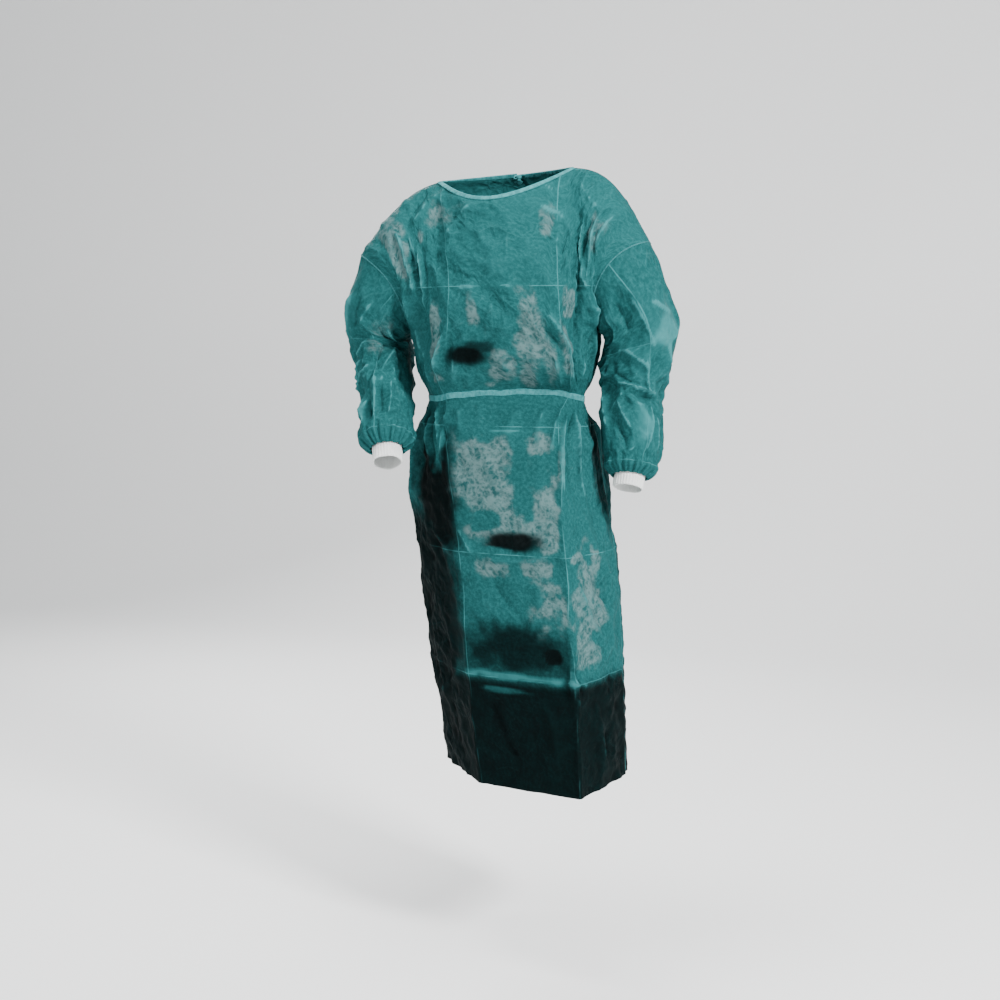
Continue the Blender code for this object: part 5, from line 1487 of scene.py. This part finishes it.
Tail = namedtuple("Tail", "side length drift tuck")
NECK_TAILS = (Tail("left", 0.17, -0.16, 0.0012), Tail("right", 0.20, 0.22, 0.0015))
BELT_TAILS = (Tail("left", 0.30, -0.20, 0.0008), Tail("right", 0.34, 0.15, 0.0))


def tape_material(name, plain, thick):
    """Folded nonwoven: pale teal with the cloth's clouds and points, with painted shade where it is
    puckered.
    """
    material, tree, shader = principled(name)
    cut = uv_map(tree, "cut")
    cloth = nonwoven(tree, cut)
    axes = add_node(tree, "ShaderNodeSeparateXYZ", Vector=cut)
    close_x = times(tree, axes.outputs["X"], 3.0)
    stretched = add_node(tree, "ShaderNodeCombineXYZ", X=close_x, Y=axes.outputs["Y"])
    pucker = speckle(tree, stretched.outputs["Vector"], scale=34.0, detail=4.0, rough=0.6)
    colour = blended(tree, ramp(tree, cloth["Cloud"], 0.35, 0.65), plain, thick)
    # painted shade in the hollows of the puckers
    colour = blended(tree, times(tree, ramp(tree, pucker, 0.56, 0.36), 0.22), colour, TEAL_DEEP)
    tree.links.new(colour, shader.inputs["Base Color"])
    tree.links.new(plus(tree, 0.58, times(tree, pucker, 0.2)), shader.inputs["Roughness"])
    normal = bumped(tree, ((pucker, 0.5, 0.0010), (cloth["Height"], 0.4, 0.0004)))
    tree.links.new(normal, shader.inputs["Normal"])
    shader.inputs["Specular IOR Level"].default_value = 0.10
    return material


TAPE_MATERIAL = tape_material("teal_tape", TAPE_TEAL, TAPE_PALE)
SEAM_MATERIAL = tape_material("teal_seam", SEAM_TEAL, SEAM_PALE)


def resampled(path, step, *others):
    """A path at even steps along its length, with any directions that go with it."""
    run = np.concatenate([[0], np.cumsum(np.linalg.norm(np.diff(path, axis=0), axis=1))])
    even = np.linspace(0, run[-1], int(run[-1] / step) + 2)
    return [np.stack([np.interp(even, run, values[:, axis]) for axis in range(3)], axis=1)
            for values in (path,) + others] + [even]


def tape_object(name, path, wide, thin, width, depth, run, ring, seed, material=TAPE_MATERIAL):
    """Tape swept along a path: a flat rounded section, wide along one direction and thin along the other,
    whose face is puckered and whose width is a little uneven. The ends are closed, or meet in a ring."""
    turns = np.linspace(0, 2 * math.pi, TAPE_SIDES + 1)
    side = np.sign(np.cos(turns)) * np.abs(np.cos(turns)) ** TAPE_SQUARE
    rise = np.sign(np.sin(turns)) * np.abs(np.sin(turns)) ** TAPE_SQUARE
    if ring:
        path, wide, thin, run = path[:-1], wide[:-1], thin[:-1], run[:-1]
    uneven = 1 + TAPE_UNEVEN * (soft_noise(run, 0 * run, 0.013, seed) - 0.5)
    s, t = np.broadcast_arrays(run[:, None], side * width / 2)
    pucker = crumple(s, t * 1.5, 0.011, seed + 1) + 0.6 * crumple(s, t, 0.023, seed + 2)
    raised = rise * depth / 2 + TAPE_PUCKER * depth * pucker * (rise >= -0.2)
    spread = side * (width / 2 * uneven)[:, None]
    grid = path[:, None] + spread[..., None] * wide[:, None] + raised[..., None] * thin[:, None]
    grid = grid[:, :-1]
    rows, columns = grid.shape[:2]
    r, c = np.meshgrid(np.arange(rows if ring else rows - 1), np.arange(columns), indexing="ij")
    r, c = r.ravel(), c.ravel()
    next_r, next_c = (r + 1) % rows, (c + 1) % columns
    corners = ((r, c), (r, next_c), (next_r, next_c), (next_r, c))
    quads = np.stack([row * columns + column for row, column in corners], axis=1)
    corner = grid.reshape(-1, 3)[quads]
    facing = np.cross(corner[:, 1] - corner[:, 0], corner[:, 3] - corner[:, 0])
    outwards = np.einsum("ij,ij->", facing, corner.mean(axis=1) - path[r]) > 0
    polygons = (quads if outwards else quads[:, ::-1]).tolist()
    if not ring:
        first = list(range(columns))
        last = list(range((rows - 1) * columns, rows * columns))
        polygons += [first[::-1], last] if outwards else [first, last[::-1]]
    mesh = bpy.data.meshes.new(name)
    mesh.from_pydata(grid.reshape(-1, 3).tolist(), [], polygons)
    layer = mesh.uv_layers.new(name="cut")
    index = np.empty(len(mesh.loops), int)
    mesh.loops.foreach_get("vertex_index", index)
    around = np.cumsum(np.abs(np.diff(side * width / 2)))
    flat = np.stack([run[index // columns], around[index % columns]], axis=1)
    layer.data.foreach_set("uv", flat.reshape(-1).astype(np.float32))
    tape = new_piece(name, mesh, material, 75)
    return tape


def surface_strip(place, level, forward):
    """Points and outward directions of the finished body along a line of places, from three close lines."""
    levels = level + 0.0015 * np.array([-1.0, 0.0, 1.0])[:, None]
    places = np.broadcast_to(place, levels.shape[:1] + place.shape)
    points = gown_points(places, np.broadcast_to(levels, places.shape), forward)
    return points[1], grid_normals(points)[1]


def seam_strip(name, path, out, ring, seed):
    """A welded seam: a narrow raised strip of doubled cloth along a line of the finished cloth."""
    path, out, run = resampled(path, 0.0016, out)
    out = unit(out)
    way = np.gradient(path, axis=0)
    if ring:
        way[0] = way[-1] = path[1] - path[-2]
        out[0] = out[-1] = unit(out[0] + out[-1])
    wide = unit(np.cross(out, way))
    strip = tape_object(name, path + 0.0001 * out, wide, unit(np.cross(way, wide)), SEAM_WIDTH, SEAM_DEPTH,
                        run, ring, seed, SEAM_MATERIAL)


def at_levels(values, rises):
    """The rows of a back's edge at the levels of the front's edge, between whole rows by shares."""
    whole = np.arange(len(values))
    return np.stack([np.interp(rises, whole, values[:, axis]) for axis in range(3)], axis=1)


def panel_seams(side, column, back_column, seed):
    """The side, armhole and shoulder seams of one side, along the edges of the front and its back."""
    front_outer, front_normals, front_place, front_level = panel_edges["front"]
    back_outer, back_normals, _, back_level = panel_edges["back_" + side]
    low = front_level[:, 0] <= 1.0
    rises = np.interp(front_level[:, 0], back_level[:, 0], np.arange(len(back_level)))
    back_line = at_levels(back_outer[:, back_column], rises)[~low]
    back_out = at_levels(back_normals[:, back_column], rises)
    line, front_out = front_outer[:, column], front_normals[:, column]
    seam_strip("seam_side_" + side, line[low], unit(front_out + back_out)[low], False, seed)
    loop = np.concatenate([line[~low], back_line[::-1][1:], line[~low][:1]])
    outs = np.concatenate([front_out[~low], back_out[~low][::-1][1:], front_out[~low][:1]])
    seam_strip("seam_armhole_" + side, loop, outs, True, seed + 2)
    top = (front_place[-1] >= 2.0) if side == "left" else (front_place[-1] <= 1.0)
    upwards = unit(front_normals[-1, top] + np.array([0.0, 0.6, 0.6]))
    seam_strip("seam_shoulder_" + side, front_outer[-1, top], upwards, False, seed + 4)


panel_seams("left", -1, 0, 151)
panel_seams("right", 0, -1, 161)

neck = [("back_left", 3 + np.linspace(1 + NECK_REACH, 1, 50), 1), ("front", np.linspace(2, 1, 120), -1),
        ("back_right", np.linspace(5, 5 - NECK_REACH, 50), 1)]
edges, outs = [], []
for panel, places, forward in neck:
    line, out = surface_strip(places, 2 - 0.0016, forward)
    edges.append(gown_points(places[None], np.full((1, len(places)), 2.0), forward)[0])
    if panel == "back_right":
        share = smooth_step((5 - places) / UNDERLAP_STRIPS_NECK)
        edges[-1] = edges[-1] - UNDERLAP_STEP * share[:, None] * out
    outs.append(out)
edge, out, run = resampled(np.concatenate(edges), 0.0012, np.concatenate(outs))
out = unit(out)
up = unit(np.cross(np.gradient(edge, axis=0), out))
middle = edge + up * (BINDING_WIDTH / 2 - BINDING_OVERLAP) - out * PANEL_WALL / 2
binding = tape_object("neck_binding_tape", middle, up, out, BINDING_WIDTH,
                      PANEL_WALL + 2 * BINDING_PROUD, run, False, 101)
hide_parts("neck_binding")
neck_seat, neck_out = middle[0] + out[0] * (PANEL_WALL / 2 + BINDING_PROUD), out[0]

belt_level = (BELT_HEIGHT - HEM_HEIGHT) / (ARMPIT_HEIGHT - HEM_HEIGHT)
round_waist = np.concatenate([np.linspace(0, 3, 500)[:-1], np.linspace(3, 6, 400)])
line, out = surface_strip(np.clip(round_waist, 0, 5.999), belt_level, -1)
line[-1], out[-1] = line[0], out[0]
edge, out, run = resampled(line, 0.0015, out)
out = unit(out)
up = unit(np.cross(out, np.gradient(edge, axis=0)))
wave = 0.0008 * np.sin(run * 90) + 0.0006 * np.sin(run * 37 + 1)
wave *= smooth_step(run / 0.02) * smooth_step((run[-1] - run) / 0.02)
middle = edge + out * (LYING_GAP + TAPE / 2 + 0.0003) + up * wave[:, None]
belt = tape_object("belt_tape", middle, up, out, BELT_WIDTH, TAPE, run, True, 111)
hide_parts("belt")


def tied_knot(name, seat, out, size, seed):
    """A pulled-tight knot: tape wound along a flattened trefoil line, its flat side turned outwards."""
    side = unit(np.cross([0.0, 0.0, 1.0], out))
    up = np.cross(out, side)
    middle = seat + out * (size[1] / 2 + KNOT_GAP)
    t = np.linspace(0, 2 * math.pi, 181)
    x = (np.sin(t) + 2 * np.sin(2 * t)) / 3 * (size[0] / 2 - 0.0022)
    z = (np.cos(t) - 2 * np.cos(2 * t)) / 3 * (size[2] / 2 - 0.0016)
    y = -np.sin(3 * t) * (size[1] / 2 - 0.0016)
    path = middle + x[:, None] * side + y[:, None] * out + z[:, None] * up
    path, run = resampled(path, 0.0006)
    way = np.gradient(path, axis=0)
    way[0] = way[-1] = unit(path[1] - path[-2])
    way = unit(way)
    away = unit(path - middle + out * 0.004)
    thin = unit(away - (away * way).sum(axis=1, keepdims=True) * way)
    knot = tape_object(name, path, unit(np.cross(way, thin)), thin, KNOT_TAPE_WIDTH, KNOT_TAPE_DEPTH,
                       run, True, seed)
    return knot, side, up, middle - up * (size[2] / 2 + KNOT_GAP)


def tail_path(tail, below, across, up, start_level):
    """A free end that leaves the knot beside its fellow, settles on the creased cloth and drifts sideways;
    also the outward directions along it."""
    down = np.linspace(0, 1, 60)
    levels_per_metre = (1.0 if start_level < 1 else YOKE_STRETCH) / (ARMPIT_HEIGHT - HEM_HEIGHT)
    level = start_level - tail.length * levels_per_metre * down
    place = 4.5 + tail.drift * down
    line, beside, above = (gown_points(place + a, level + b, 1) for a, b in ((0, 0), (0.01, 0), (0, 0.01)))
    outs = unit(np.cross(beside - line, above - line))
    start_lift = (below - line[0]).dot(outs[0])
    start = below + np.sign(tail.drift) * TIE_APART * across + tail.tuck * up
    relief = np.maximum(body_relief(place, level, line[:, 2])[0], 0)
    relief = np.convolve(np.pad(relief, 4, mode="edge"), np.ones(9) / 9, mode="valid")
    settled = (start_lift - TAIL_LIFT - relief) * smooth_step(down / TAIL_SETTLE)
    return line - line[0] + start - outs * settled[:, None], outs


def tie_pieces(name, seat, out, start_level, knot_size, tails, seed):
    """A knot at the middle of the back and two free ends that hang over the cloth and curl a little."""
    knot, across, up, below = tied_knot(name + "_knot_tape", seat, out, knot_size, seed)
    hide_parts(name + "_knot")
    for tail in tails:
        path, outs = tail_path(tail, below, across, up, start_level)
        path, outs, run = resampled(path, 0.0016, outs)
        way = unit(np.gradient(path, axis=0))
        wide = unit(np.cross(outs, way))
        face = unit(np.cross(way, wide))
        curl = 0.35 * np.sin(run * 38 + seed) * smooth_step((run - 0.02) / 0.08)
        turned = wide * np.cos(curl)[:, None] + face * np.sin(curl)[:, None]
        end = tape_object(name + "_end_" + tail.side + "_tape", path, turned, unit(np.cross(way, turned)),
                          TIE_WIDTH, TIE_TAPE, run, False, seed + 3)
        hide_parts(name + "_end_" + tail.side)


tie_pieces("neck_tie", neck_seat, neck_out, NECK_TIE_LEVEL, NECK_KNOT_SIZE, NECK_TAILS, 121)
line, out = surface_strip(np.array([4.49, 4.5, 4.51]), belt_level, 1)
belt_seat = line[1] + out[1] * (LYING_GAP + 0.0012)
below_knot = belt_level - BELT_KNOT_SIZE[2] / 2 / (ARMPIT_HEIGHT - HEM_HEIGHT)
tie_pieces("belt_tie", belt_seat, out[1], below_knot, BELT_KNOT_SIZE, BELT_TAILS, 131)
